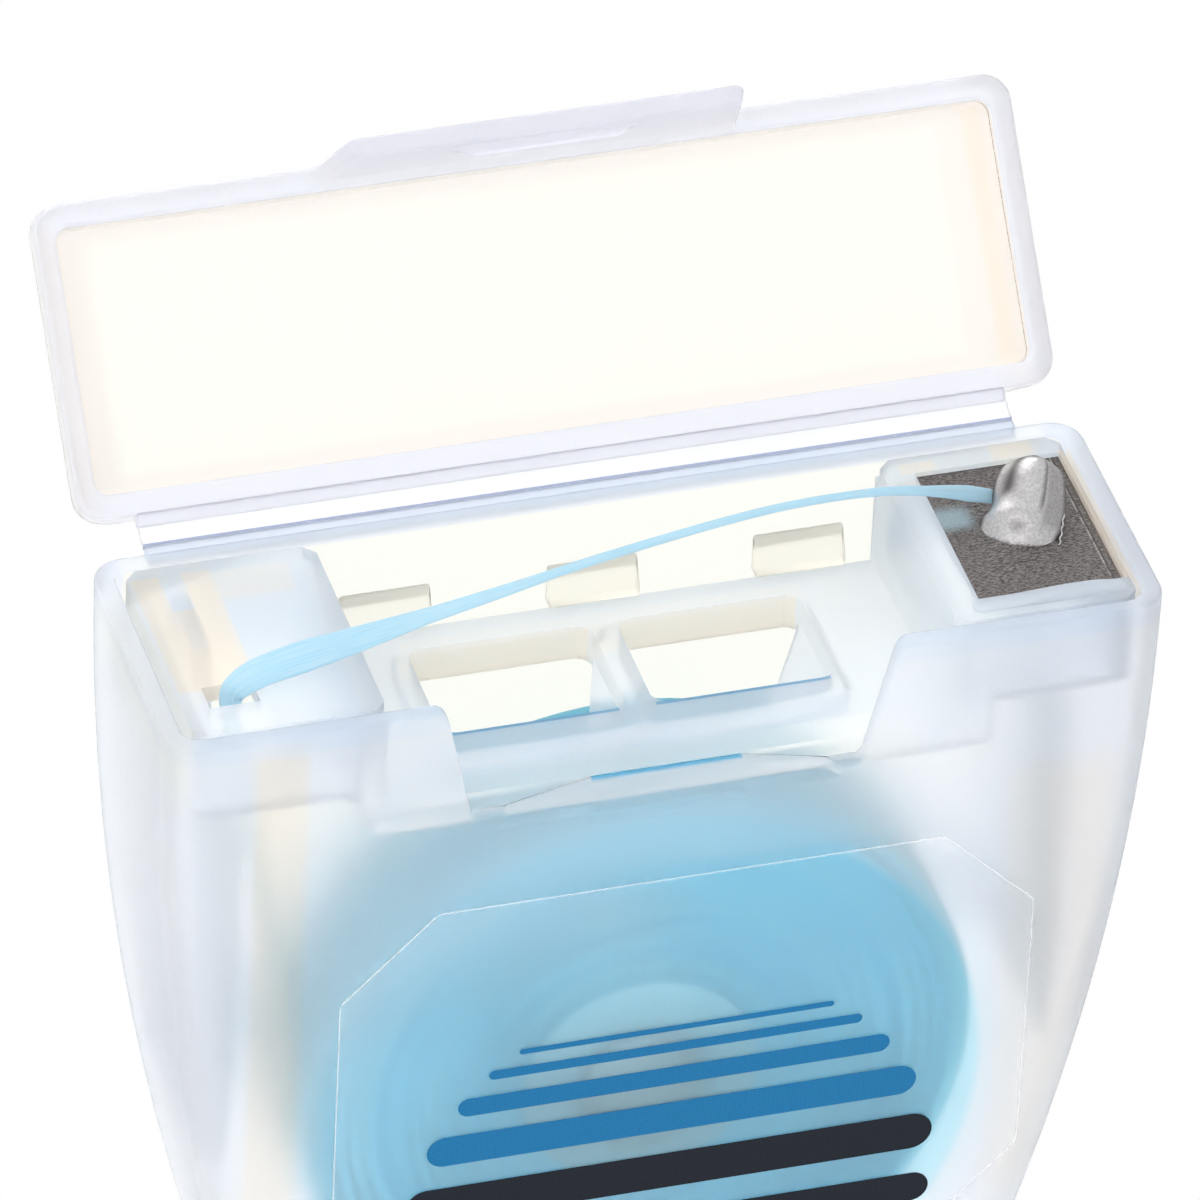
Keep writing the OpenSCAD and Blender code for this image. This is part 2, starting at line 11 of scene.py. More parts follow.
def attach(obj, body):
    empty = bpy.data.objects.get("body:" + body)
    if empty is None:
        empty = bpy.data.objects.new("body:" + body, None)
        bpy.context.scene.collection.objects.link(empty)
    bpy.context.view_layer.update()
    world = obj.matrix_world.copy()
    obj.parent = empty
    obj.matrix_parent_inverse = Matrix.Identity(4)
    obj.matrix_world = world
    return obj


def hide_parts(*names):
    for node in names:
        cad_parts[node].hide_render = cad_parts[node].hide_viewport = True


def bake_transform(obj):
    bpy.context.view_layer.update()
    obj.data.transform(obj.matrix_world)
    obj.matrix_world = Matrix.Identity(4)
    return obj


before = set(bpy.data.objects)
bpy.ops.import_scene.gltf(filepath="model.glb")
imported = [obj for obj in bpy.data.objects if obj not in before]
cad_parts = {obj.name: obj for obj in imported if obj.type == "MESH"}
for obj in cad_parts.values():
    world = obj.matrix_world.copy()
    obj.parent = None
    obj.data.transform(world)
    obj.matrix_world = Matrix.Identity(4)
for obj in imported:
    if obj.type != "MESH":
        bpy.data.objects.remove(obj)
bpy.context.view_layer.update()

MM = 0.001

# Sizes in millimetres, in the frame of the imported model: x to the right, y to the back and z up from the foot.
HALF_W = 25.0
HALF_D = 7.75
RIM = 45.0
WALL = 1.0
SIDE_R = 155.0
RIM_ROUND = 0.28
NOTCH_DEEP = 6.8
PIVOT = np.array([8.85, 45.05])
OPEN_DEG = 132.0
LAND_HALF_W = 22
LAND_BACK = 8.35
LID_RIM = 45.1
LID_TOP = 50.3
TAB_DEEP = 5.4
SPOOL_Z = 18.5
LABEL_X, LABEL_Z, LABEL_W, LABEL_H, LABEL_CUT = 1.4, 20.3, 17.6, 12.5, 4.8


# --- Meshes ----------------------------------------------------------------


def finish_mesh(name, vertices, faces):
    """A smooth mesh object at the origin from millimetre points, its faces turned outwards on a closed
    shell."""
    mesh = bpy.data.meshes.new(name)
    mesh.from_pydata((np.asarray(vertices, float) * MM).tolist(), [], faces)
    bm = bmesh.new()
    bm.from_mesh(mesh)
    bmesh.ops.recalc_face_normals(bm, faces=bm.faces)
    bm.to_mesh(mesh)
    bm.free()
    mesh.polygons.foreach_set("use_smooth", np.full(len(mesh.polygons), True))
    mesh.update()
    piece = bpy.data.objects.new(name, mesh)
    bpy.context.scene.collection.objects.link(piece)
    return piece


def grid_faces(rows, cols, joined=False):
    """Quads between neighbouring points of rows that close on themselves, the last row joined to the first if
    asked."""
    i = np.arange(rows if joined else rows - 1)[:, None]
    j = np.arange(cols)[None, :]
    i2, j2 = (i + 1) % rows, (j + 1) % cols
    quads = np.stack([i * cols + j, i * cols + j2, i2 * cols + j2, i2 * cols + j], -1)
    return quads.reshape(-1, 4).tolist()


def tube_shell(name, rows):
    """A closed shell from rings of points, shape (rows, columns, 3), with a pole at the mean of each end
    ring."""
    n, c = rows.shape[:2]
    points = np.concatenate([rows.reshape(-1, 3), rows[0].mean(0)[None], rows[-1].mean(0)[None]])
    faces = grid_faces(n, c)
    a, b = n * c, n * c + 1
    j = np.arange(c)
    faces += np.stack([np.full(c, a), (j + 1) % c, j], -1).tolist()
    faces += np.stack([np.full(c, b), (n - 1) * c + j, (n - 1) * c + (j + 1) % c], -1).tolist()
    return finish_mesh(name, points, faces)


def ring_shell(name, rows):
    """A closed shell from loops of points, shape (rows, columns, 3), whose last loop joins its first."""
    return finish_mesh(name, rows.reshape(-1, 3), grid_faces(*rows.shape[:2], joined=True))


def add_mask(piece, name, values):
    """A number for each point of a mesh, for its material to read; the poles take the last value."""
    mesh = piece.data
    full = np.full(len(mesh.vertices), float(values.ravel()[-1]), np.float32)
    full[: values.size] = values.ravel()
    mesh.attributes.new(name, "FLOAT", "POINT").data.foreach_set("value", full)


def place(piece, body, slot, material, *nodes):
    """Rides the piece on its body, gives it its material, and lets it stand for the CAD nodes; slot is not used."""
    piece.data.materials.clear()
    piece.data.materials.append(material)
    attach(piece, body)
    if nodes:
        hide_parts(*nodes)
    return piece


def rounded_path(points, radii, count):
    """A polyline whose corners are arcs of the given radii, sampled at count even steps of its length."""
    p = np.asarray(points, float)
    out = [p[:1]]
    for k in range(1, len(p) - 1):
        a, b = p[k - 1] - p[k], p[k + 1] - p[k]
        la, lb = np.linalg.norm(a), np.linalg.norm(b)
        a, b = a / la, b / lb
        half = math.acos(float(np.clip(a @ b, -1, 1))) / 2
        cut = min(radii[k] / math.tan(half), 0.48 * la, 0.48 * lb)
        s = np.linspace(0, 1, 9)[:, None]
        start, stop = p[k] + a * cut, p[k] + b * cut
        out.append((1 - s) ** 2 * start + 2 * s * (1 - s) * p[k] + s * s * stop)
    out.append(p[-1:])
    dense = np.concatenate(out)
    length = np.concatenate([[0], np.cumsum(np.linalg.norm(np.diff(dense, axis=0), axis=1))])
    t = np.linspace(0, length[-1], count)
    return np.stack([np.interp(t, length, dense[:, k]) for k in range(dense.shape[1])], -1), t


def smooth_step(x, low, high):
    """Zero below low, one above high, with an eased run between them."""
    t = np.clip((x - low) / (high - low), 0, 1)
    return t * t * (3 - 2 * t)


# --- Camera ----------------------------------------------------------------


# The camera as fitted to the photo: where it stands, and where its target falls in the square picture.
VIEW_TURN, VIEW_CLIMB, VIEW_ROLL = -18.39, 38.19, 2.99
VIEW_DISTANCE = 713.3
VIEW_TARGET = np.array([0, -0.25, 35.0])
PICTURE_PX, PX_PER_MM = 1200, 20.594
TARGET_PX_X, TARGET_PX_Y = 622.96, 749.20
SENSOR_MM = 36.0


def make_camera():
    """A long lens from the front left and above, aimed so that the hinge and the deck fill the frame."""
    az, el, roll = (math.radians(angle) for angle in (VIEW_TURN, VIEW_CLIMB, VIEW_ROLL))
    back = np.array([math.sin(az) * math.cos(el), -math.cos(az) * math.cos(el), math.sin(el)])
    right = np.cross([0, 0, 1.0], back)
    right /= np.linalg.norm(right)
    up = np.cross(back, right)
    right, up = (
        math.cos(roll) * right + math.sin(roll) * up,
        -math.sin(roll) * right + math.cos(roll) * up,
    )
    aside = (PICTURE_PX / 2 - TARGET_PX_X) / PX_PER_MM
    below = (PICTURE_PX / 2 - TARGET_PX_Y) / PX_PER_MM
    centre = VIEW_TARGET + aside * right - below * up
    eye = VIEW_TARGET + VIEW_DISTANCE * back
    view = eye - centre
    view /= np.linalg.norm(view)
    right = np.cross(up, view)
    right /= np.linalg.norm(right)
    up = np.cross(view, right)
    data = bpy.data.cameras.new("camera")
    data.sensor_width = SENSOR_MM
    data.lens = SENSOR_MM * PX_PER_MM * np.linalg.norm(eye - centre) / PICTURE_PX
    data.clip_start, data.clip_end = 0.05, 20.0
    camera = bpy.data.objects.new("camera", data)
    bpy.context.scene.collection.objects.link(camera)
    matrix = Matrix([[*map(float, row), 0] for row in np.stack([right, up, view], 1)] + [[0, 0, 0, 1]])
    matrix.translation = (eye * MM).tolist()
    camera.matrix_world = matrix
    bpy.context.scene.camera = camera


make_camera()


# --- Materials -------------------------------------------------------------


def feed(tree, slot, value):
    """Links a node's output into a slot, or gives the slot a plain number or colour."""
    if hasattr(value, "links"):
        tree.links.new(value, slot)
    else:
        slot.default_value = (*value, 1.0) if isinstance(value, tuple) else value


class Nodes:
    """A short hand for one material's node tree."""

    def __init__(self, name):
        self.material = bpy.data.materials.new(name)
        self.material.use_nodes = True
        self.tree = self.material.node_tree
        self.shader = self.tree.nodes["Principled BSDF"]
        self.coords = self.add("ShaderNodeTexCoord").outputs["Object"]

    def add(self, kind, **settings):
        node = self.tree.nodes.new(kind)
        for key, value in settings.items():
            if key in node.inputs:
                node.inputs[key].default_value = value
            else:
                setattr(node, key, value)
        return node

    def link(self, out, into):
        self.tree.links.new(out, into)

    def math(self, operation, a, b=0.0, c=0.0):
        node = self.add("ShaderNodeMath", operation=operation)
        for slot, value in zip(node.inputs, (a, b, c)):
            feed(self.tree, slot, value)
        return node.outputs[0]

    def product(self, first, *others):
        for other in others:
            first = self.math("MULTIPLY", first, other)
        return first

    def ramp(self, value, low, high):
        """An eased run from nought at low to one at high."""
        node = self.add("ShaderNodeMapRange", interpolation_type="SMOOTHSTEP")
        self.link(value, node.inputs["Value"])
        node.inputs["From Min"].default_value = low
        node.inputs["From Max"].default_value = high
        return node.outputs["Result"]

    def mix(self, factor, a, b):
        node = self.add("ShaderNodeMix", data_type="RGBA")
        for slot, value in ((0, factor), (6, a), (7, b)):
            feed(self.tree, node.inputs[slot], value)
        return node.outputs[2]

    def noise(self, scale, detail=3.0, rough=0.5, stretch=(1, 1, 1)):
        mapping = self.add("ShaderNodeMapping")
        mapping.inputs["Scale"].default_value = stretch
        self.link(self.coords, mapping.inputs["Vector"])
        node = self.add("ShaderNodeTexNoise", Scale=scale, Detail=detail, Roughness=rough)
        self.link(mapping.outputs[0], node.inputs["Vector"])
        return node.outputs["Fac"]

    def axes(self, shut=False):
        """Millimetres across, front to back and up, or those of the shut lid."""
        where = self.coords
        if shut:
            turn = self.add("ShaderNodeVectorRotate", rotation_type="X_AXIS", Angle=math.radians(OPEN_DEG))
            turn.inputs["Center"].default_value = (0, PIVOT[0] * MM, PIVOT[1] * MM)
            self.link(where, turn.inputs["Vector"])
            where = turn.outputs[0]
        node = self.add("ShaderNodeSeparateXYZ")
        self.link(where, node.inputs[0])
        return [self.math("MULTIPLY", o, 1000.0) for o in node.outputs]

    def bump(self, height, strength, distance):
        node = self.add("ShaderNodeBump", Strength=strength, Distance=distance)
        self.link(height, node.inputs["Height"])
        self.link(node.outputs[0], self.shader.inputs["Normal"])

    def set(self, **values):
        for key, value in values.items():
            feed(self.tree, self.shader.inputs[key.replace("_", " ")], value)


def frosted(name, pale, deep, transmission, roughness, ior=1.2, painted_tints=(), cleared=None):
    """Frosted polypropylene: pale where it is thin, deeper in faint clouds, with a fine moulded grain. Each
    painted patch is a function of the material's nodes that puts a mask out, and its colour: light or shade
    painted into the colour. The grain is dulled less under cleared."""
    n = Nodes(name)
    cloud = n.ramp(n.noise(160.0, 3.0, 0.5), 0.35, 0.75)
    colour = n.mix(cloud, pale, deep)
    for mask, painted_colour in painted_tints:
        colour = n.mix(mask(n), colour, painted_colour)
    n.set(Base_Color=colour, Transmission_Weight=transmission, IOR=ior, Specular_IOR_Level=0.4)
    rough = n.math("MULTIPLY_ADD", n.noise(900.0, 4.0, 0.6), 0.10, roughness - 0.05)
    grain = n.noise(3500.0, 2.0, 0.6)
    if cleared:
        clear = cleared(n)
        rough = n.math("MULTIPLY_ADD", clear, -0.30, rough)
        grain = n.product(grain, n.math("MULTIPLY_ADD", clear, -0.95, 1.0))
    n.set(Roughness=rough)
    n.bump(grain, 0.2, 0.00004)
    return n.material


def box_mask(low, high, soft, strength=1.0, shut=False):
    """A mask that is strength inside a box of the object's own millimetres and fades over soft outside it."""
    def build(n):
        out = strength
        for axis, a, b in zip(n.axes(shut), low, high):
            inside = n.ramp(axis, a - soft, a), n.ramp(axis, b + soft, b)
            out = n.product(*inside, out)
        return out
    return build


def film_spans(n):
    """How far a point lies from the film's middle: across, up and the sum of both, each with where the film
    ends."""
    x, _, z = n.axes()
    across = n.math("ABSOLUTE", n.math("SUBTRACT", x, LABEL_X))
    up = n.math("ABSOLUTE", n.math("SUBTRACT", z, LABEL_Z))
    return (across, LABEL_W), (up, LABEL_H), (n.math("ADD", across, up), LABEL_W + LABEL_H - LABEL_CUT)


def under_film(n):
    """Where the label's glue wets the front wall and clears its grain: the film's outline with its cut
    corners."""
    inside = [n.ramp(span, end + 0.05, end - 0.05) for span, end in film_spans(n)]
    return n.product(*inside, n.ramp(n.axes()[1], -6.0, -7.0))


def spool_radius(n):
    """Distance from the spool's axis in the front view."""
    x, _, z = n.axes()
    up = n.math("SUBTRACT", z, SPOOL_Z)
    return n.math("SQRT", n.math("ADD", n.product(x, x), n.product(up, up)))


def painted_spool_glow(n):
    """Painted glow: the blue that the full spool lends to the wall before it, painted into the wall's colour: a
    wide round patch that fades at its rim, and a sharp rim under the film at the right."""
    x, y, z = n.axes()
    radius = spool_radius(n)
    wide = n.product(n.ramp(radius, 19.4, 12.5), n.math("MULTIPLY_ADD", n.ramp(z, 24.0, 34.0), -0.55, 0.85))
    sharp = n.product(under_film(n), n.ramp(x, -8.0, 4.0), n.ramp(radius, 17.2, 16.4))
    return n.product(n.math("MAXIMUM", wide, sharp), n.ramp(y, -6.0, -6.6))


# The middle of the notch floor pipes the blue of the floss to its inner edge; that blue is painted into the case's
# colour as a glow.
painted_blue_edge = box_mask((-3.7, -7.1, 38.9), (3.7, -6.6, 39.3), 0.15, 0.9)

# Painted light: the warm glow of the backlight through the plastic, laid into the colour as peach and ivory
# patches.
PAINTED_WARM_GLOW = (0.99, 0.90, 0.79)
PAINTED_IVORY_GLOW = (1.0, 0.985, 0.90)
# Painted glow: the floss's blue seen through the wall, painted into the case's colour.
PAINTED_FLOSS_GLOW = (0.58, 0.91, 1.0)
# Painted light on the case: a cool painted reflection in the lavender rim band, painted ivory and peach backlight
# glow on the walls, and the painted blue glow of the floss.
CASE = frosted("frosted_case", (0.975, 0.982, 1.0), (0.958, 0.970, 1.0), 0.87, 0.60, painted_tints=[
    (box_mask((-26, -9, 44.2), (26, 9, 46), 0.6), (0.895, 0.935, 1.0)),
    (box_mask((-24.1, -6.5, 41.0), (-23.8, 6.5, 44.6), 0.2), PAINTED_IVORY_GLOW),
    (box_mask((-23.0, 6.6, 43.6), (24.0, 6.85, 44.6), 0.2), PAINTED_IVORY_GLOW),
    (box_mask((23.85, -6.0, 43.6), (24.1, 5.6, 44.7), 0.15), PAINTED_WARM_GLOW),
    (box_mask((-20.3, -8.0, 13.0), (-18.4, -6.0, 43.4), 0.7, 0.6), PAINTED_WARM_GLOW),
    (box_mask((18.5, -8.0, 10.0), (22.0, -6.0, 35.0), 2.0, 0.4), PAINTED_WARM_GLOW),
    (painted_spool_glow, PAINTED_FLOSS_GLOW),
    (painted_blue_edge, (0.12, 0.62, 0.92))], cleared=under_film)
# The back wall: a brighter, clearer copy of the case's plastic with a painted ivory backlight glow.
BACK = frosted("frosted_back", (0.99, 0.995, 1.0), (0.985, 0.99, 1.0), 0.97, 0.38, 1.15, painted_tints=[
    (box_mask((-26, 6, 27), (26, 9, 44.2), 2.0), PAINTED_IVORY_GLOW)])
# Painted light on the lid: a lavender band of painted cool reflection along its rim, painted peach backlight glow
# on the inner walls and a painted ivory backlight glow on the inner floor.
LID = frosted("frosted_lid", (0.955, 0.957, 0.975), (0.945, 0.947, 0.97), 0.82, 0.60, painted_tints=[
    (box_mask((-26, -10, 38), (26, 9, 45.5), 0.3, 1.0, True), (0.87, 0.875, 0.945)),
    (box_mask((-23.95, -6.75, 46.0), (23.95, 6.75, 49.2), 0.3, 1.0, True), PAINTED_WARM_GLOW),
    (box_mask((-21.1, -5.3, 48.6), (21.0, 5.0, 49.2), 0.9, 1.0, True), (0.985, 0.985, 0.84))])
# Painted shade: the case's hinge land is the case's own plastic in a darker blue.
LANDS = frosted("frosted_lands", (0.84, 0.89, 0.98), (0.81, 0.875, 0.975), 0.75, 0.5)
# Painted light and shade on the insert: a painted dark blue shade line under each window's front edge, painted
# shade on the blocks and a strip at the left, a painted brighter deck front, and painted peach and ivory backlight
# glow on walls at the back and ends.
PAINTED_WINDOW_SHADE = (0.33, 0.60, 0.82)
BLOCK_SHADE = (0.84, 0.885, 0.935)
INSERT = frosted("clear_insert", (0.93, 0.962, 1.0), (0.91, 0.952, 1.0), 0.72, 0.5, 1.13, painted_tints=[
    (box_mask((-9.6, -2.12, 38.7), (-0.9, -1.92, 39.05), 0.04, 0.9), PAINTED_WINDOW_SHADE),
    (box_mask((1.0, -2.12, 38.7), (9.8, -1.92, 39.05), 0.04, 0.9), PAINTED_WINDOW_SHADE),
    (box_mask((13.9, -7.0, 40.0), (24.0, 7.0, 45.2), 1.2), BLOCK_SHADE),
    (box_mask((-19.3, -7.0, 42.0), (-12.0, 7.0, 45.2), 0.5, 0.75), (0.84, 0.90, 0.97)),
    (box_mask((-12.5, -7.0, 33.5), (13.0, -5.3, 38.95), 0.3), (0.985, 1.0, 1.0)),
    (box_mask((-23.2, -3.0, 44.0), (-19.6, 5.7, 45.2), 0.35, 0.85), PAINTED_WARM_GLOW),
    (box_mask((-21.8, 3.2, 44.0), (-21.0, 6.5, 45.2), 0.3), (0.885, 0.93, 0.985)),
    (box_mask((-19.2, 3.8, 44.0), (-15.9, 5.4, 45.2), 0.6, 0.45), PAINTED_WARM_GLOW),
    (box_mask((-23.6, -6.3, 41.0), (-23.4, 6.6, 44.8), 0.1), (1.0, 1.0, 0.965)),
    (box_mask((23.42, -5.0, 44.0), (23.7, 5.4, 45.2), 0.06), PAINTED_WARM_GLOW),
    (box_mask((-9.8, 4.5, 36.8), (10.4, 5.4, 38.9), 0.15, 0.8), PAINTED_WARM_GLOW),
    (box_mask((20.4, 5.6, 43.0), (22.0, 6.3, 45.2), 0.5, 0.8), PAINTED_WARM_GLOW),
    (box_mask((15.6, 5.5, 43.0), (17.0, 5.9, 45.2), 0.4, 0.8), PAINTED_WARM_GLOW)])
# The catches: warm ivory, a painted backlight glow.
CATCH = frosted("frosted_catch", (1.0, 0.975, 0.925), (1.0, 0.985, 0.95), 0.96, 0.45, 1.12)
# The web: a thin painted navy shadow line where it meets the case's land.
WEB = frosted("web", (1.0, 1.0, 1.0), (0.985, 0.99, 1.0), 0.85, 0.3, 1.12, painted_tints=[
    (box_mask((-22, 8.32, 44.6), (22, 8.42, 45.05), 0.04), (0.25, 0.30, 0.50))])


def steel_grain(n, dark, light):
    """The creased skin of the rolled sheet: fine cells drawn out across the plate, over faint clouds."""
    grain = n.noise(13000.0, 3.0, 0.65, (0.35, 1, 1))
    colour = n.mix(n.ramp(grain, 0.36, 0.64), dark, light)
    cloud = n.ramp(n.noise(1500.0, 2.0, 0.5), 0.35, 0.7)
    return grain, n.mix(n.product(cloud, 0.3), colour, (0.12, 0.108, 0.104))


def make_steel():
    """Dull pressed steel: a fine dark skin of creases, a painted highlight along a pressed line beside its right
    edge, painted shade in the groove next to it, a few bright rubs and a painted bluish reflection of the floss."""
    n = Nodes("cutter_steel")
    grain, dark = steel_grain(n, (0.028, 0.025, 0.024), (0.20, 0.182, 0.178))
    x = n.axes()[0]
    # Painted highlight along the pressed line beside the right edge, and painted shade in the groove beside it.
    line = n.ramp(n.math("ABSOLUTE", n.math("SUBTRACT", x, 22.93)), 0.06, 0.02)
    line = n.product(line, n.ramp(n.noise(2600.0, 3.0, 0.7, (1, 0.4, 1)), 0.40, 0.62))
    painted_groove_shade = n.ramp(n.math("ABSOLUTE", n.math("SUBTRACT", x, 23.03)), 0.07, 0.03)
    dark = n.mix(n.product(painted_groove_shade, 0.6), dark, (0.03, 0.027, 0.026))
    rub = n.ramp(n.noise(900.0, 4.0, 0.75, (0.3, 1, 1)), 0.68, 0.74)
    bright = n.math("MAXIMUM", n.product(line, 0.45), n.product(rub, 0.3))
    lit = n.mix(bright, dark, (0.50, 0.49, 0.49))
    # Painted reflection: the floss strand's bluish reflection on the plate.
    painted_floss_reflection = box_mask((16.4, 1.3, 44), (17.2, 1.9, 45), 1.0, 0.7)(n)
    n.set(Base_Color=n.mix(painted_floss_reflection, lit, (0.27, 0.38, 0.43)), Metallic=0.6, Roughness=0.5)
    n.bump(grain, 0.6, 0.00005)
    return n.material


def make_tongue_steel():
    """The same steel burnished where the press has drawn it up: bright in front, darkened by painted shade and dark
    reflections where the shade mask is, and still dark and creased at its root."""
    n = Nodes("tongue_steel")
    grain, dark = steel_grain(n, (0.03, 0.027, 0.026), (0.22, 0.20, 0.195))
    shade = n.add("ShaderNodeAttribute", attribute_name="shade").outputs["Fac"]
    root = n.add("ShaderNodeAttribute", attribute_name="root").outputs["Fac"]
    fine = n.ramp(n.noise(7000.0, 4.0, 0.7), 0.3, 0.7)
    bright = n.mix(fine, (0.40, 0.39, 0.395), (0.58, 0.57, 0.575))
    # Painted shade and dark reflections: the shade mask darkens the bright steel.
    drawn = n.mix(shade, bright, (0.085, 0.08, 0.08))
    ragged = n.ramp(n.math("ADD", root, n.math("MULTIPLY_ADD", grain, 0.9, -0.45)), 0.35, 0.65)
    n.set(Base_Color=n.mix(ragged, drawn, dark), Metallic=0.75, Roughness=0.38)
    n.bump(grain, 0.25, 0.00004)
    return n.material


STEEL = make_steel()
TONGUE = make_tongue_steel()


def make_floss(name, pale, deep, transmission, rings=False):
    """Waxed floss: fine filaments that run along the strand, on its own UV map, or round the spool as rings."""
    n = Nodes(name)
    if rings:
        flat = n.add("ShaderNodeCombineXYZ")
        n.link(spool_radius(n), flat.inputs[0])
        fibre = n.add("ShaderNodeTexNoise", Scale=0.8, Detail=5.0, Roughness=0.65)
        n.link(flat.outputs[0], fibre.inputs["Vector"])
    else:
        uv = n.add("ShaderNodeUVMap", uv_map="UVMap")
        mapping = n.add("ShaderNodeMapping")
        mapping.inputs["Scale"].default_value = (14.0, 1.0, 1.0)
        n.link(uv.outputs[0], mapping.inputs["Vector"])
        fibre = n.add("ShaderNodeTexNoise", Scale=3.0, Detail=4.0, Roughness=0.6)
        n.link(mapping.outputs[0], fibre.inputs["Vector"])
    streak = n.ramp(fibre.outputs["Fac"], 0.38, 0.62)
    n.set(Base_Color=n.mix(streak, deep, pale), Roughness=0.45, Sheen_Weight=0.3, Transmission_Weight=transmission,
          IOR=1.3)
    n.bump(fibre.outputs["Fac"], 0.4, 0.00005)
    return n.material


STRAND = make_floss("floss_strand", (0.66, 0.89, 1.0), (0.50, 0.82, 0.99), 0.45)
LEAD = make_floss("floss_lead", (0.90, 0.97, 1.0), (0.80, 0.94, 0.99), 0.9)
SPOOL_FLOSS = make_floss("floss_wound", (0.50, 0.91, 1.0), (0.34, 0.84, 1.0), 0.5)
PACK = make_floss("floss_pack", (0.40, 0.86, 1.0), (0.20, 0.74, 0.98), 0.5, rings=True)


def make_core():
    """White moulded core."""
    n = Nodes("core_plastic")
    n.set(Base_Color=n.mix(n.noise(300.0), (0.80, 0.91, 0.97), (0.86, 0.94, 0.99)), Roughness=0.4)
    n.bump(n.noise(2500.0), 0.2, 0.00005)
    return n.material


CORE = make_core()


def make_film():
    """Clear film: nearly unseen on its face, with a painted highlight along its cut edge, where it is more opaque.
    """
    n = Nodes("label_film")
    edge = 0.0
    for (span, end), far, near in zip(film_spans(n), (0.09, 0.09, 0.13), (0.04, 0.04, 0.06)):
        edge = n.math("MAXIMUM", edge, n.ramp(span, end - far, end - near))
    n.set(Alpha=n.math("MULTIPLY_ADD", edge, 0.25, 0.035),
          Base_Color=n.mix(n.noise(60.0, 2.0, 0.5), (0.94, 0.97, 1.0), (1.0, 1.0, 1.0)),
          Roughness=n.math("MULTIPLY_ADD", n.noise(90.0, 3.0, 0.6), 0.10, 0.08), IOR=1.45)
    return n.material


def make_ink(name, dark, light):
    """Printed ink with the dot pattern of a screen: small cells whose dots nearly fill them."""
    n = Nodes(name)
    dots = n.add("ShaderNodeTexVoronoi", Scale=9000.0, Randomness=0.15)
    n.link(n.coords, dots.inputs["Vector"])
    colour = n.mix(n.ramp(dots.outputs["Distance"], 0.35, 0.6), dark, light)
    n.set(Base_Color=colour, Roughness=0.5, Specular_IOR_Level=0.2)
    return n.material


FILM = make_film()
INK = make_ink("ink_blue", (0.004, 0.13, 0.32), (0.012, 0.20, 0.42))
DARK_INK = make_ink("ink_dark", (0.004, 0.006, 0.012), (0.010, 0.016, 0.03))


# --- Floss strand, lead and winding ----------------------------------------


def route(points, step=0.25):
    """A smooth line through the points, sampled about every step millimetres, each stretch a Catmull-Rom
    cubic."""
    p = np.asarray(points, float)
    q = np.concatenate([p[:1], p, p[-1:]])
    out = []
    for i in range(len(p) - 1):
        a, b, c, d = q[i : i + 4]
        n = max(3, int(np.linalg.norm(c - b) / step))
        t = np.arange(n)[:, None] / n
        cubic = t * t * (2 * a - 5 * b + 4 * c - d) + t ** 3 * (3 * b - a - 3 * c + d)
        out.append(0.5 * (2 * b + t * (c - a) + cubic))
    return np.concatenate(out + [p[-1:]])


def directions(path):
    """Unit direction at each point of a path."""
    d = np.gradient(path, axis=0)
    return d / np.linalg.norm(d, axis=1)[:, None]


def swept(name, path, half_w, half_t, facing, sides=16, ripple=0.0):
    """A ribbon with an oval section swept along a path, its flat turned to face one way, with a rippled
    skin."""
    t = directions(path)
    side = np.cross(np.asarray(facing, float), t)
    side /= np.linalg.norm(side, axis=1)[:, None]
    flat = np.cross(t, side)
    a = np.linspace(0, 2 * np.pi, sides, endpoint=False)
    wave = 1 + ripple * np.cos(a * sides / 2)[None, :]
    w, h = np.broadcast_to(half_w, len(path)), np.broadcast_to(half_t, len(path))
    rows = (
        path[:, None]
        + side[:, None] * (w[:, None] * np.cos(a)[None, :])[..., None]
        + flat[:, None] * (h[:, None] * wave * np.sin(a)[None, :])[..., None]
    )
    piece = tube_shell(name, rows)
    add_uv(piece, len(path), sides)
    return piece


def add_uv(piece, rows, cols, times=1.0):
    """UV map of a swept piece: u round the section, v along the path."""
    mesh = piece.data
    layer = mesh.uv_layers.new(name="UVMap")
    index = np.zeros(len(mesh.loops), int)
    mesh.loops.foreach_get("vertex_index", index)
    row, col = np.minimum(index // cols, rows - 1), index % cols
    uv = np.stack([np.abs(col / cols - 0.5) * 2 * times, row / 40.0], -1)
    layer.data.foreach_set("uv", uv.astype(np.float32).ravel())


# The same routes as in the source: shares of the way between two ends, and heights above the rim.
EXIT = np.array([-20.95, -3.75, 44.0])
GRIP = np.array([19.3, 2.214, 45.1])
STRAND_SHARES = [[0, 0, -1], [0, 0, -0.3], [0.004, -0.034, 0.4], [0.03, -0.02, 1], [0.08, 0.03, 1.3],
                 [0.147, 0.1, 1.5], [0.237, 0.2, 1.8], [0.341, 0.3, 2.2], [0.47, 0.435, 2.7], [0.627, 0.603, 3],
                 [0.734, 0.72, 2.9], [0.841, 0.84, 2.3], [0.921, 0.92, 1.4], [0.978, 0.985, 0.5], [1, 1, 0.1]]
STRAND_ROUTE = [(*(EXIT[:2] + np.array([a, b]) * (GRIP - EXIT)[:2]), RIM + c) for a, b, c in STRAND_SHARES]
LEAD_SHARES = [[0, 0], [0, 0.03], [0.06, 0.1], [0.26, 0.23], [0.52, 0.42], [0.77, 0.61], [0.93, 0.79], [1, 0.92],
               [1, 1]]
LEAD_END = np.array([-17.7, -3.95, 18.0])
LEAD_ROUTE = [EXIT + np.array([a, b, b]) * (LEAD_END - EXIT) for a, b in LEAD_SHARES]
FACING = [-0.25, -0.70, 0.66]


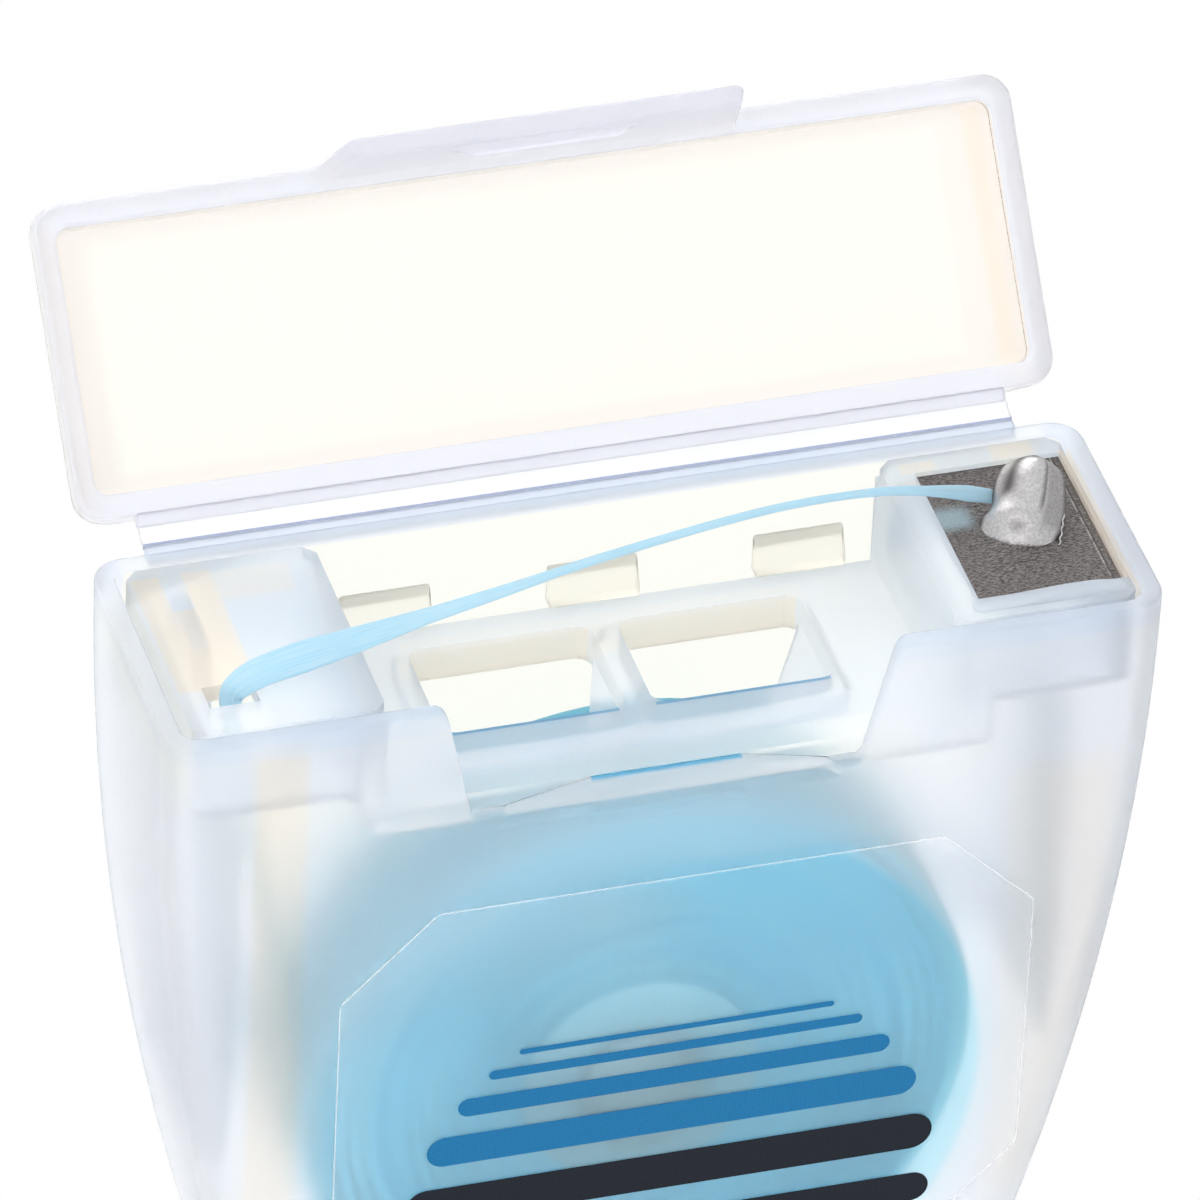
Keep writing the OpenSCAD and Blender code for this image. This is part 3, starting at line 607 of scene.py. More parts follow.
def make_strand():
    """The free strand: wide where it leaves the slot, drawn thin over the deck, and spread again at the
    cutter."""
    path = route(STRAND_ROUTE)
    length = np.concatenate([[0], np.cumsum(np.linalg.norm(np.diff(path, axis=0), axis=1))])
    s = length / length[-1]
    half_w = np.interp(s, [0, 0.05, 0.12, 0.19, 0.28, 0.42, 0.6, 0.8, 0.9, 0.96, 1],
                       [0.50, 0.72, 0.78, 0.62, 0.38, 0.24, 0.21, 0.20, 0.26, 0.40, 0.34])
    half_t = np.interp(s, [0, 0.1, 0.3, 1], [0.16, 0.15, 0.13, 0.12])
    strand = swept("floss_strand_ribbon", path, half_w, half_t, FACING, 24, 0.12)
    place(strand, "case", "floss", STRAND, "floss_strand")


make_strand()


def make_lead():
    """The hidden run from the spool up to the exit slot."""
    lead = swept("floss_lead_run", route(LEAD_ROUTE, 0.5), 0.42, 0.16, [0, -1, 0.02], 16, 0.1)
    place(lead, "case", "floss", LEAD, "floss_lead")


make_lead()


def make_winding():
    """The outer layer of the spool, one helix of round floss with eight turns."""
    turns, steps, radius, front, width = 8, 96, 16.63, -5.15, 8.6
    i = np.arange(turns * steps + 1)
    a = np.pi - 2 * np.pi * i / steps
    y = front + width / turns * i / steps
    path = np.stack([radius * np.cos(a), y, SPOOL_Z + radius * np.sin(a)], -1)
    winding = swept("wound_floss", path, 0.5, 0.27, [0, -1, 0.0], 10)
    place(winding, "spool", "floss", SPOOL_FLOSS, "floss_turns")


def make_pack():
    """The wound pack: a ring turned about the post, its two faces ridged by the turns that show at them, a
    cosine of the radius with a pitch that wavers."""
    inner, outer, y0, y1, edge, sides = 6.05, 16.2, -5.35, 3.65, 0.25, 144
    r = np.linspace(inner, outer - edge, 90)
    ridge = 0.09 * (1 - np.cos(2 * np.pi * (r + 0.25 * np.sin(r * 1.7)) / 0.95))
    a = np.radians(np.linspace(0, 90, 6))
    bend = np.stack([outer - edge + edge * np.sin(a), y0 + edge * (1 - np.cos(a))], -1)
    half = np.concatenate([np.stack([r, y0 + ridge], -1), bend[1:]])
    profile = np.concatenate([half, (half * [1, -1] + [0, y0 + y1])[::-1]])
    angle = np.linspace(0, 2 * np.pi, sides, endpoint=False)[:, None]
    reach, y = profile[None, :, 0], np.broadcast_to(profile[None, :, 1], (sides, len(profile)))
    pack = ring_shell("wound_pack", np.stack([reach * np.cos(angle), y, SPOOL_Z + reach * np.sin(angle)], -1))
    add_uv(pack, sides, len(profile), 9.0)
    place(pack, "spool", "floss", PACK, "floss_pack")


# --- Case and lid shells ---------------------------------------------------


def bow(depth, radius=SIDE_R):
    """How far a bowed side stands in at a depth below the rim: radius - sqrt(radius^2 - depth^2)."""
    return radius - np.sqrt(radius ** 2 - np.square(depth))


def rounded_ring(hx, hy, rf, rb, front_t):
    """Plan outlines, one per level: a rectangle with front corner radius rf and back corner radius rb. It
    runs along the front at the shares front_t, then round by the right side, the back and the left side.
    Returns the points and the inward plan directions, shape (levels, columns, 2)."""
    hx, hy, rf, rb = (v[:, None] for v in (hx, hy, rf, rb))
    n, arc = len(hx), 10
    xs, ys, ns = [], [], []

    def corner(cx, cy, r, a0, a1):
        a = np.radians(np.linspace(a0, a1, arc + 2)[1:-1])[None]
        xs.append(cx + r * np.cos(a))
        ys.append(cy + r * np.sin(a))
        ns.append(np.broadcast_to(np.stack([-np.cos(a), -np.sin(a)], -1), (n, arc, 2)))

    def line(x0, y0, x1, y1, t, nx, ny):
        t = t[None]
        xs.append(x0 + (x1 - x0) * t)
        ys.append(y0 + (y1 - y0) * t)
        ns.append(np.broadcast_to(np.array([nx, ny], float), (n, t.shape[1], 2)))

    even, wide = np.linspace(0, 1, 14), np.linspace(0, 1, 40)
    line(-hx + rf, -hy, hx - rf, -hy, (front_t + 1) / 2, 0, 1)
    corner(hx - rf, -hy + rf, rf, -90, 0)
    line(hx, -hy + rf, hx, hy - rb, even, -1, 0)
    corner(hx - rb, hy - rb, rb, 0, 90)
    line(hx - rb, hy, -hx + rb, hy, wide, 0, -1)
    corner(-hx + rb, hy - rb, rb, 90, 180)
    line(-hx, hy - rb, -hx, -hy + rf, even, 1, 0)
    corner(-hx + rf, -hy + rf, rf, 180, 270)
    return np.stack([np.concatenate(xs, 1), np.concatenate(ys, 1)], -1), np.concatenate(ns, 1)


def front_normals(outline):
    """Upward normals of an outline that runs from left to right in the front view."""
    d = np.gradient(outline, axis=0)
    d /= np.linalg.norm(d, axis=1)[:, None]
    return np.stack([-d[:, 1], d[:, 0]], -1)


def notch_outline(half, count):
    """The case's front rim seen from the front: level, then down into the notch with its raised middle, and
    up again."""
    low, slope = RIM - NOTCH_DEEP, 0.22
    w0, w1 = 11.3, 11.3 - slope * NOTCH_DEEP
    pts = [(-half, RIM), (-w0 - 0.05, RIM), (-w1, low), (-8.2, low), (-3.8, low + 1), (3.8, low + 1), (8.2, low),
           (w1, low), (w0 + 0.05, RIM), (half, RIM)]
    return rounded_path(pts, [0, 0.8, 0.35, 0.4, 0.3, 0.3, 0.4, 0.35, 0.8, 0], count)[0]


def rounded_rim(outside, inside, way, front, plan):
    """Loops that round a wall's edge over, from its last loop outside to its last loop inside: quarter
    circles that rise way (1 is up, -1 down), along the front's own normals at the front, and draw in along
    the plan directions."""
    rise = np.zeros((len(outside), 3))
    rise[:, 2] = way
    rise[: len(front), 0], rise[: len(front), 2] = front[:, 0], front[:, 1]
    draw = np.concatenate([plan, np.zeros((len(rise), 1))], -1)
    turns = [(RIM_ROUND * math.sin(a), RIM_ROUND * (1 - math.cos(a))) for a in np.radians([22.5, 45, 67.5, 90])]
    loops = [outside + rise * up + draw * into for up, into in turns]
    return np.array(loops + [inside + rise * up - draw * into for up, into in turns[::-1]])


def drawn_in(loop, shares):
    """Copies of a level loop drawn in to shares of their distance from the middle."""
    return np.array([loop * [f, f, 1] for f in shares])


def case_section(z, inset=0.0):
    """Half width, half depth and front corner radius of the case at a height, less an inset, rounded at the
    foot."""
    d = RIM - z
    hx = HALF_W - bow(d) - inset
    hy = np.full_like(z, HALF_D - inset)
    foot, edge, z0 = (2.5, 1.0, 0.0) if inset == 0 else (2.0, 0.6, WALL)
    half = HALF_W - inset - bow(RIM - z0 - foot) + 0.3
    t = np.clip((z0 + foot - z) / foot, 0, 1)
    hx = np.minimum(hx, np.where(z < z0 + foot, half - foot + foot * np.sqrt(1 - t * t), 99.0))
    t = np.clip((z0 + edge - z) / edge, 0, 1)
    hy = np.where(z < z0 + edge, hy - edge + edge * np.sqrt(1 - t * t), hy)
    rf = 1.9 + 1.8 * (d / 40) ** 2 - inset
    rb = np.full_like(z, 1.6 - inset)
    return hx, hy, np.clip(rf, 0.5, hy - 0.1), np.clip(rb, 0.4, hy - 0.1)


def make_case():
    """The case: columns run from the base up the outer face, over the rounded rim or notch edge, and down
    inside."""
    meet, count = 33.0, 150
    hx_top, _, rf_top, _ = case_section(np.array([RIM]))
    outline = notch_outline(float(hx_top[0] - rf_top[0]), count)
    normal = front_normals(outline)
    hx_meet, _, rf_meet, _ = case_section(np.array([meet]))
    half_low = float(hx_meet[0] - rf_meet[0])
    s = np.concatenate([[0], np.cumsum(np.linalg.norm(np.diff(outline, axis=0), axis=1))])
    left = np.argmax(outline[:, 1] < RIM - 0.4)
    low_left = np.argmax(outline[:, 1] < RIM - (NOTCH_DEEP - 0.2))
    right, low_right = count - 1 - left, count - 1 - low_left
    low_x = np.interp(s, [0, s[left], s[low_left], s[low_right], s[right], s[-1]],
                      [-half_low, -12.2, -10.5, 10.5, 12.2, half_low])
    q = np.concatenate([np.linspace(0, 0.35, 8), np.linspace(0.35, 1, 40)[1:]])
    low_z = np.concatenate([[0.0], np.linspace(0.1, 1.0, 7), np.linspace(1.3, 2.6, 5),
                            np.linspace(3.5, meet, 20)[:-1]])

    def rows(inset):
        low = low_z if inset == 0 else np.where(low_z < 0.001, inset, inset + low_z * (meet - inset) / meet)
        z = np.concatenate([low, meet + (RIM - RIM_ROUND - meet) * q])
        hx, hy, rf, rb = case_section(z, inset)
        plan, inward = rounded_ring(hx, hy, rf, rb, low_x / half_low)
        grid = np.concatenate([plan, np.broadcast_to(z[:, None, None], (*plan.shape[:2], 1))], -1)
        top = outline - normal * RIM_ROUND
        k = len(low)
        grid[k:, :count, 0] = low_x + (top[:, 0] - low_x)[None] * q[:, None]
        grid[k:, :count, 2] = meet + (top[:, 1] - meet)[None] * q[:, None]
        return grid, inward

    outer, inward = rows(0.0)
    inner, _ = rows(WALL)
    x, z = outer[:, :count, 0], outer[:, :count, 2]
    recess_foot = RIM - NOTCH_DEEP - np.where(np.abs(x) < 3.9, 1.2, 0.6)
    recess = smooth_step(z, recess_foot - 0.08, recess_foot + 0.12) * (1 - smooth_step(np.abs(x), 8.1, 8.35))
    outer[:, :count, 1] += 0.5 * recess
    rim = rounded_rim(outer[-1], inner[-1], 1, normal, inward[-1])
    everything = np.concatenate([drawn_in(outer[0], (0.05, 0.5, 0.97)), outer, rim, inner[::-1],
                                 drawn_in(inner[0], (0.97, 0.5, 0.05))])
    case = place(tube_shell("case", everything), "case", "frosted_case", CASE, "case_shell")
    # The back wall takes the brighter material with its painted backlight glow.
    case.data.materials.append(BACK)
    middle = np.zeros(len(case.data.polygons) * 3)
    case.data.polygons.foreach_get("center", middle)
    x, y, z = middle.reshape(-1, 3).T / MM
    back = (y > 6.6) & (np.abs(x) < np.interp(z, [0, 45], [19.0, 23.3])) & (z < 44.7)
    case.data.polygons.foreach_set("material_index", back.astype(np.int32))


def make_catches():
    """Three wedges on the back wall that hold the deck down: a rounded side profile carried across, with its
    ends drawn in."""
    profile, _ = rounded_path([(6.85, 39.2), (6.05, 39.2), (6.05, 39.7), (6.85, 41.3)], [0, 0.15, 0.4, 0], 26)
    profile = np.concatenate([profile, [[6.85, 40.2]]])
    middle = profile.mean(0)
    for k, centre in enumerate((-10.25, 0.25, 10.75)):
        ends = zip((-1, -0.985, -0.95, 0.95, 0.985, 1), (0.8, 0.93, 1, 1, 0.93, 0.8))
        rows = [np.column_stack([np.full(len(profile), centre + 2.3 * a), middle + (profile - middle) * f])
                for a, f in ends]
        place(tube_shell(f"back_catch_{k + 1}", np.array(rows)), "case", "frosted_case", CATCH)


make_case()
make_catches()


def opened(points):
    """Turns points of the shut lid about the hinge line to where the lid stands open."""
    a = math.radians(-OPEN_DEG)
    y, z = points[..., 1] - PIVOT[0], points[..., 2] - PIVOT[1]
    out = points.copy()
    out[..., 1] = PIVOT[0] + y * math.cos(a) - z * math.sin(a)
    out[..., 2] = PIVOT[1] + y * math.sin(a) + z * math.cos(a)
    return out


# The lid's outer and inner faces: half width, half depth, plan radius, how far its ends and its long edges round
# over, and its top.
LID_OUTSIDE = HALF_W - 0.25, HALF_D, 1.4, 4.0, 1.3, LID_TOP
LID_INSIDE = HALF_W - 1.25, HALF_D - 1.2, 0.7, 3.0, 0.9, LID_TOP - 1.2


def lid_section(z, face):
    """Half width, half depth and corner radii of the lid at a height, rounded towards its top."""
    half_w, half_d, radius, end, edge, top = face
    t = np.clip((z - (top - end)) / end, 0, 1)
    hx = half_w - end + end * np.sqrt(1 - t * t)
    t = np.clip((z - (top - edge)) / edge, 0, 1)
    hy = half_d - edge + edge * np.sqrt(1 - t * t)
    return hx, hy, np.full_like(z, radius), np.full_like(z, radius)


def lid_levels(start, face):
    """Heights from start up to the top, close together where the top rounds over."""
    *_, end, edge, top = face
    rise = np.sin(np.radians(np.linspace(0, 90, 12)))
    z = np.concatenate([np.linspace(start, top - end, 4), top - end + end * rise, top - edge + edge * rise])
    return np.unique(np.round(z, 4))


def make_lid():
    """The lid, drawn shut and turned open: columns run from the top's middle over the rim or the latch tab
    and back. The tab leans out as it goes down, and a bead along its inner face snaps under the notch."""
    meet, count = 46.3, 130
    half = LID_OUTSIDE[0] - LID_OUTSIDE[2]
    tip = LID_RIM - TAB_DEEP
    w0, w1 = 10.75, 9.91
    pts = [(-half, LID_RIM), (-w0, LID_RIM), (-w1, tip), (w1, tip), (w0, LID_RIM), (half, LID_RIM)]
    outline, s = rounded_path(pts, [0, 0.5, 0.35, 0.35, 0.5, 0], count)
    normal = -front_normals(outline)
    left = np.argmax(outline[:, 1] < LID_RIM - 0.3)
    low_left = np.argmax(outline[:, 1] < tip + 0.2)
    right, low_right = count - 1 - left, count - 1 - low_left
    low_x = np.interp(s, [0, s[left], s[low_left], s[low_right], s[right], s[-1]],
                      [-half, -10.6, -9.0, 9.0, 10.6, half])
    q = np.linspace(1, 0, 30)

    def rows(face):
        z = np.concatenate([meet + (LID_RIM + RIM_ROUND - meet) * q, lid_levels(meet + 0.2, face)])
        hx, hy, rf, rb = lid_section(z, face)
        plan, inward = rounded_ring(hx, hy, rf, rb, low_x / half)
        grid = np.concatenate([plan, np.broadcast_to(z[:, None, None], (*plan.shape[:2], 1))], -1)
        tipped = outline - normal * RIM_ROUND
        k = len(q)
        squeeze = (hx[:k, None] - rf[:k, None]) / half
        grid[:k, :count, 0] = (low_x + (tipped[:, 0] - low_x)[None] * q[:, None]) * squeeze
        grid[:k, :count, 2] = meet + (tipped[:, 1] - meet)[None] * q[:, None]
        depth = np.clip(LID_RIM - grid[:k, :count, 2], 0, None)
        grid[:k, :count, 1] -= 0.7 * depth / TAB_DEEP
        if face is LID_INSIDE:
            grid[:k, :count, 1] -= 0.2 * smooth_step(depth, 0.2, 1.2)
            x = grid[:k, :count, 0]
            bead = np.exp(-((depth - 4.05) / 0.32) ** 2) * (1 - smooth_step(np.abs(x), 3.8, 4.3))
            grid[:k, :count, 1] += 0.4 * bead
        return grid, inward

    outer, inward = rows(LID_OUTSIDE)
    inner, _ = rows(LID_INSIDE)
    rim = rounded_rim(outer[0], inner[0], -1, normal, inward[0])
    everything = np.concatenate([drawn_in(outer[-1], (0.05, 0.4, 0.8, 0.97)), outer[::-1], rim, inner,
                                 drawn_in(inner[-1], (0.97, 0.8, 0.4, 0.05))])
    place(tube_shell("lid", opened(everything)), "lid", "frosted_case", LID, "lid_shell")


make_lid()
make_winding()
make_pack()


def land(z0, z1):
    """A land of the hinge between two heights: a straight bar with a superellipse section and rounded ends."""
    y0, y1, r, power, sides = 7.6, LAND_BACK, 0.15, 0.35, 32
    a = np.linspace(0, 2 * np.pi, sides, endpoint=False)
    c, s = np.cos(a), np.sin(a)
    t = np.radians(np.linspace(0, 90, 6))
    end = LAND_HALF_W - r * (1 - np.cos(t))
    x = np.concatenate([-end, end[::-1]])
    shrink = np.concatenate([r * (1 - np.sin(t)), r * (1 - np.sin(t[::-1]))])[:, None]
    y = (y0 + y1) / 2 + ((y1 - y0) / 2 - shrink) * np.sign(c) * np.abs(c) ** power
    z = (z0 + z1) / 2 + ((z1 - z0) / 2 - shrink) * np.sign(s) * np.abs(s) ** power
    return np.stack([np.broadcast_to(x[:, None], y.shape), y, z], -1)


def make_hinge():
    """The two lands and the thin web between them, which bends from the case's side to the lid's."""
    place(tube_shell("case_land", land(RIM - 0.8, RIM)), "case", "frosted_case", LANDS)
    place(tube_shell("lid_land", opened(land(LID_RIM, LID_RIM + 0.8))), "lid", "frosted_case", LID)
    thick, steps = 0.3, 24
    bend = math.radians(180 - OPEN_DEG)
    reach = PIVOT[0] - LAND_BACK + (thick / 2 + 0.05) * math.tan(bend / 2)
    r = reach / math.tan(bend / 2)
    a = np.linspace(-math.pi / 2, -math.pi / 2 + bend, steps)
    out = np.stack([np.cos(a), np.sin(a)], -1)
    mid = [LAND_BACK, RIM - thick / 2 + r] + r * out
    half = thick / 2 * (0.7 + 0.3 * np.cos(np.linspace(-1, 1, steps) * np.pi) ** 2)[:, None]
    loop = np.concatenate([mid + out * half, (mid - out * half)[::-1]])
    x = np.array([-LAND_HALF_W, -21.9, *np.linspace(-21.5, 21.5, 60), 21.9, LAND_HALF_W])[:, None, None]
    x = np.broadcast_to(x, (len(x), len(loop), 1))
    web = tube_shell("web", np.concatenate([x, np.broadcast_to(loop, (len(x), *loop.shape))], -1))
    web.data.materials.append(WEB)
    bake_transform(web)
    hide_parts("hinge_web")


make_hinge()


# --- Insert ----------------------------------------------------------------


def softened_copy(node, name, width, cut_top):
    """A merged copy of a CAD node with its flat faces joined, its top levelled at cut_top and its sharp edges
    rounded over a width in metres."""
    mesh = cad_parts[node].data.copy()
    mesh.name = name
    bm = bmesh.new()
    bm.from_mesh(mesh)
    for vert in bm.verts:
        vert.co.z = min(vert.co.z, cut_top * MM)
    bmesh.ops.remove_doubles(bm, verts=bm.verts, dist=3e-5)
    bmesh.ops.dissolve_degenerate(bm, dist=1e-6, edges=bm.edges)
    bmesh.ops.dissolve_limit(bm, angle_limit=math.radians(2), verts=bm.verts, edges=bm.edges)
    bmesh.ops.triangulate(bm, faces=[f for f in bm.faces if len(f.verts) > 4], ngon_method="BEAUTY")
    bm.to_mesh(mesh)
    bm.free()
    mesh.polygons.foreach_set("use_smooth", np.full(len(mesh.polygons), True))
    piece = bpy.data.objects.new(name, mesh)
    bpy.context.scene.collection.objects.link(piece)
    bevel = piece.modifiers.new("edges", "BEVEL")
    bevel.width, bevel.segments = width, 2
    bevel.limit_method, bevel.angle_limit = "ANGLE", math.radians(30)
    bevel.harden_normals = True
    return piece


place(softened_copy("insert_frame", "insert", 0.00012, 44.9), "case", "clear_insert", INSERT, "insert_frame")


def make_lip():
    """The lip before the cutter: a low hump that climbs from the left as an eased step and dips a little to
    the right, with an oval section."""
    x = np.concatenate([[15.6, 15.63], np.linspace(15.7, 23.3, 40), [23.37, 23.4]])
    end = np.sqrt(np.clip(1 - (np.clip(np.abs(x - 19.5) - 3.6, 0, None) / 0.31) ** 2, 0.02, 1))
    crest = (0.05 + 0.32 * smooth_step(x, 15.8, 20.8) - 0.30 * smooth_step(x, 21.6, 23.5)) * end
    a = np.linspace(0, 2 * np.pi, 28, endpoint=False)
    c, s = np.cos(a), np.sin(a)
    y = -5.55 + 0.52 * np.sign(c) * np.abs(c) ** 0.7 * end[:, None]
    z = 44.87 + np.where(s > 0, crest[:, None] * np.abs(s) ** 0.8, -0.1 * np.abs(s))
    rows = np.stack([np.broadcast_to(x[:, None], y.shape), y, z], -1)
    place(tube_shell("cutter_lip", rows), "case", "clear_insert", INSERT)


make_lip()

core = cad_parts["spool_core"].data
core.materials.clear()
core.materials.append(CORE)


# --- Cutter ----------------------------------------------------------------

CUT_LOW, CUT_HIGH, CUT_Z, CUT_T = np.array([16.1, -4.95]), np.array([23.4, 5.25]), 44.4, 0.3
TONGUE_ROOT, TONGUE_TURN, TONGUE_L = np.array([19.05, -1.686]), math.radians(-25), 5.2


def tongue_place(across, along, up):
    """Points of the tongue, given across it, along it from its root and above the plate, in the case's
    frame."""
    c, s = math.cos(TONGUE_TURN), math.sin(TONGUE_TURN)
    x, y = TONGUE_ROOT[0] + c * across - s * along, TONGUE_ROOT[1] + s * across + c * along
    return np.stack([x, y, CUT_Z + CUT_T + up], -1)


def make_plate():
    """The plate: loops that run from the opening under the tongue out to the rounded edge and back
    underneath, each a blend of the opening's outline and the plate's."""
    n = 160
    angle = np.linspace(0, 2 * np.pi, n, endpoint=False) + 0.001
    c, s = np.cos(angle), np.sin(angle)
    centre = tongue_place(np.array([0.0]), np.array([2.0]), np.array([0.0]))[0, :2]
    hole = tongue_place(1.25 * np.sign(c) * np.abs(c) ** 0.8, 2.0 + 1.9 * s, 0 * c)[:, :2]
    away = hole - centre
    away /= np.linalg.norm(away, axis=1)[:, None]
    to_sides = (np.where(away > 0, CUT_HIGH, CUT_LOW) - centre) / away
    reach = np.min(np.where(np.abs(away) > 1e-6, to_sides, 1e9), axis=1)
    edge = centre + away * reach[:, None]
    corners = np.array([[x, y] for x in (CUT_LOW[0], CUT_HIGH[0]) for y in (CUT_LOW[1], CUT_HIGH[1])])
    for corner in corners:
        edge[np.argmin(np.linalg.norm(edge - corner, axis=1))] = corner
    on_side = np.minimum(np.abs(edge - CUT_LOW), np.abs(edge - CUT_HIGH)) < 1e-3
    inward = -np.sign(edge - (CUT_LOW + CUT_HIGH) / 2) * on_side
    share = np.array([0, 0.04, 0.15, 0.35, 0.6, 0.8, 0.93, 1.0])
    flat = [hole + (edge + inward * 0.06 - hole) * t for t in share]
    dish = 0.05 * np.array([1, 0.9, 0.55, 0.15, 0, 0, 0, 0])
    top = CUT_Z + CUT_T
    levels = [(f, top + d) for f, d in zip(flat, dish)]
    levels += [(edge + inward * 0.015, top - 0.02), (edge, top - 0.07), (edge, CUT_Z)]
    levels += [(f, CUT_Z + d) for f, d in zip(flat[::-1], dish[::-1])]
    rows = np.array([np.column_stack([f, np.full(n, z)]) for f, z in levels])
    place(ring_shell("cutter_plate_pressed", rows), "case", "cutter_steel", STEEL, "cutter_plate")


def make_tongue():
    """The tongue, drawn up like the bowl of a spoon: its middle climbs as an eased step from the plate, its
    section is an arch whose flanks fall away, its width narrows to a round tip, and a shallow dent lies in
    its front face. u runs across it from -1 to 1 and v along it to 1 at the tip."""
    tip = 0.88 + 0.12 * np.sin(np.linspace(0, np.pi / 2, 14)[1:])
    v = np.concatenate([np.linspace(-0.10, 0.88, 44), tip])[:, None]
    u = np.linspace(-1, 1, 41)[None, :]
    narrow = 1.92 + 0.05 * smooth_step(v, 0.0, 0.3) - 0.34 * smooth_step(v, 0.5, 0.95)
    half = narrow * np.clip(1 - (np.clip(v - 0.72, 0, None) / 0.282) ** 3.2, 0, 1) ** 0.5
    waist = 0.30 * np.exp(-((v - 0.55) / 0.13) ** 2) * (u < 0) * u ** 2
    rise = 1.25 * smooth_step(v, -0.10, 0.36) + 1.09 * smooth_step(v, 0.25, 0.95)
    arch = (0.35 + 0.75 * smooth_step(v, 0.0, 0.5) - 0.50 * smooth_step(v, 0.6, 0.95)) * (half / 1.8)
    ridge = np.exp(-((u - 0.1) / 0.42) ** 2) * 0.18 * smooth_step(v, 0.5, 0.75) * (1 - smooth_step(v, 0.9, 1.02))
    dimple = np.exp(-((u + 0.05) / 0.3) ** 2 - ((v - 0.22) / 0.09) ** 2)
    up = np.maximum(rise - arch * np.abs(u) ** 2.6 + ridge - 0.14 * dimple, -0.12)
    across = (half - waist) * u + 0.15 * smooth_step(v, 0.3, 1.0) - 0.22 * (1 - smooth_step(v, -0.1, 0.35))
    root_line = (0.34 + np.where(u < 0, 1.25, 0.75) * u * u) * (1 - smooth_step(v, -0.1, 0.62))
    along = TONGUE_L * v * 0.93 + root_line
    top = tongue_place(across, along, up)
    under = tongue_place(across * 0.95, along - 0.08, up - 0.24)
    rows = np.concatenate([top, under[:, ::-1]], axis=1)
    piece = tube_shell("cutter_tongue", rows)
    # The shade mask: painted shade and dark reflections on the right flank, the edges, a band on the left, a
    # crease, the crown and the dent.
    flank = smooth_step(u + 0 * v, 0.42, 0.58) * smooth_step(v, 0.10, 0.3) * 0.42
    edge = smooth_step(np.abs(u) + 0 * v, 0.86, 0.98) * 0.85
    band = np.exp(-(((u + 0.52) / 0.22) ** 2)) * smooth_step(v, 0.46, 0.62)
    crease = np.exp(-(((u - 0.44) / 0.05) ** 2)) * smooth_step(v, 0.3, 0.5) * 0.8
    crown = smooth_step(v + 0 * u, 0.90, 1.0) * 0.8
    shade = np.maximum.reduce([flank, edge, band, crease, crown, 0.5 * dimple])
    root = 1 - smooth_step(v + 0 * u, -0.06, 0.10)
    add_mask(piece, "shade", np.concatenate([shade, np.ones_like(shade)], axis=1))
    add_mask(piece, "root", np.concatenate([root, 0 * shade], axis=1))
    place(piece, "case", "cutter_steel", TONGUE)


def make_burr():
    """The bright torn edge where the tongue's right flank parted from the plate, a thin strip that runs down
    to it."""
    v = np.linspace(0.08, 0.5, 30)
    across = 1.98 - 0.1 * v + 0.03 * np.sin(v * 60)
    path = tongue_place(across, 0.55 + TONGUE_L * v * 0.9, 0.05 + 0.5 * smooth_step(v, 0.1, 0.5))
    burr = swept("cutter_burr", path, 0.06 + 0.025 * np.sin(v * 47), 0.05, [1, 0, 0.3], 10)
    for name in ("shade", "root"):
        add_mask(burr, name, np.zeros(len(burr.data.vertices)))
    place(burr, "case", "cutter_steel", TONGUE)


make_plate()
make_tongue()
make_burr()


# --- Label -----------------------------------------------------------------


def slab(name, outline, y_wall, y_face, soft):
    """A thin slab on the front wall from a closed front-view outline, drawn in towards its middle at its soft
    edge."""
    middle = (outline.max(0) + outline.min(0)) / 2
    reach = (outline.max(0) - outline.min(0)) / 2
    loops = []
    far = 0.6 * reach.min()
    for y, inset in ((y_wall, far), (y_wall, 3 * soft), (y_wall, 0), (y_face + soft, 0),
                     (y_face + 0.3 * soft, 0.3 * soft), (y_face, soft), (y_face, 3 * soft), (y_face, far)):
        p = middle + (outline - middle) * (1 - inset / reach)
        loops.append(np.column_stack([p[:, 0], np.full(len(p), y), p[:, 1]]))
    return tube_shell(name, np.array(loops))


def stadium(x, z, half_w, half_h):
    """A bar with round ends, seen from the front."""
    a = np.linspace(-np.pi / 2, np.pi / 2, 14)
    right = np.stack([half_w - half_h + half_h * np.cos(a), half_h * np.sin(a)], -1)
    return np.concatenate([right, -right]) + [x, z]


def make_label():
    """Clear film with cut corners, and a stack of plain printed bars in place of print."""
    w, h, c = LABEL_W, LABEL_H, LABEL_CUT
    corners = [(0, h), (w - c, h), (w, h - c), (w, -h + c), (w - c, -h), (-w + c, -h), (-w, -h + c), (-w, h - c),
               (-w + c, h), (0, h)]
    outline = rounded_path(corners, [0] + [0.35] * 8 + [0], 260)[0][:-1] + [LABEL_X, LABEL_Z]
    place(slab("label_film", outline, -7.77, -7.85, 0.03), "case", "label_film", FILM, "front_label")
    bars = ((23.4, 8.0, 0.16, INK), (22.2, 9.5, 0.28, INK), (20.4, 11.0, 0.55, INK),
            (17.8, 12.5, 0.9, INK), (14.4, 13.5, 1.1, DARK_INK), (10.8, 13.5, 0.9, DARK_INK))
    for k, (z, half_w, half_h, ink) in enumerate(bars):
        bar = slab(f"label_bar_{k + 1}", stadium(1.0, z, half_w, half_h), -7.855, -7.87, 0.004)
        place(bar, "case", "label_film", ink)


make_label()


# --- Stage and light -------------------------------------------------------


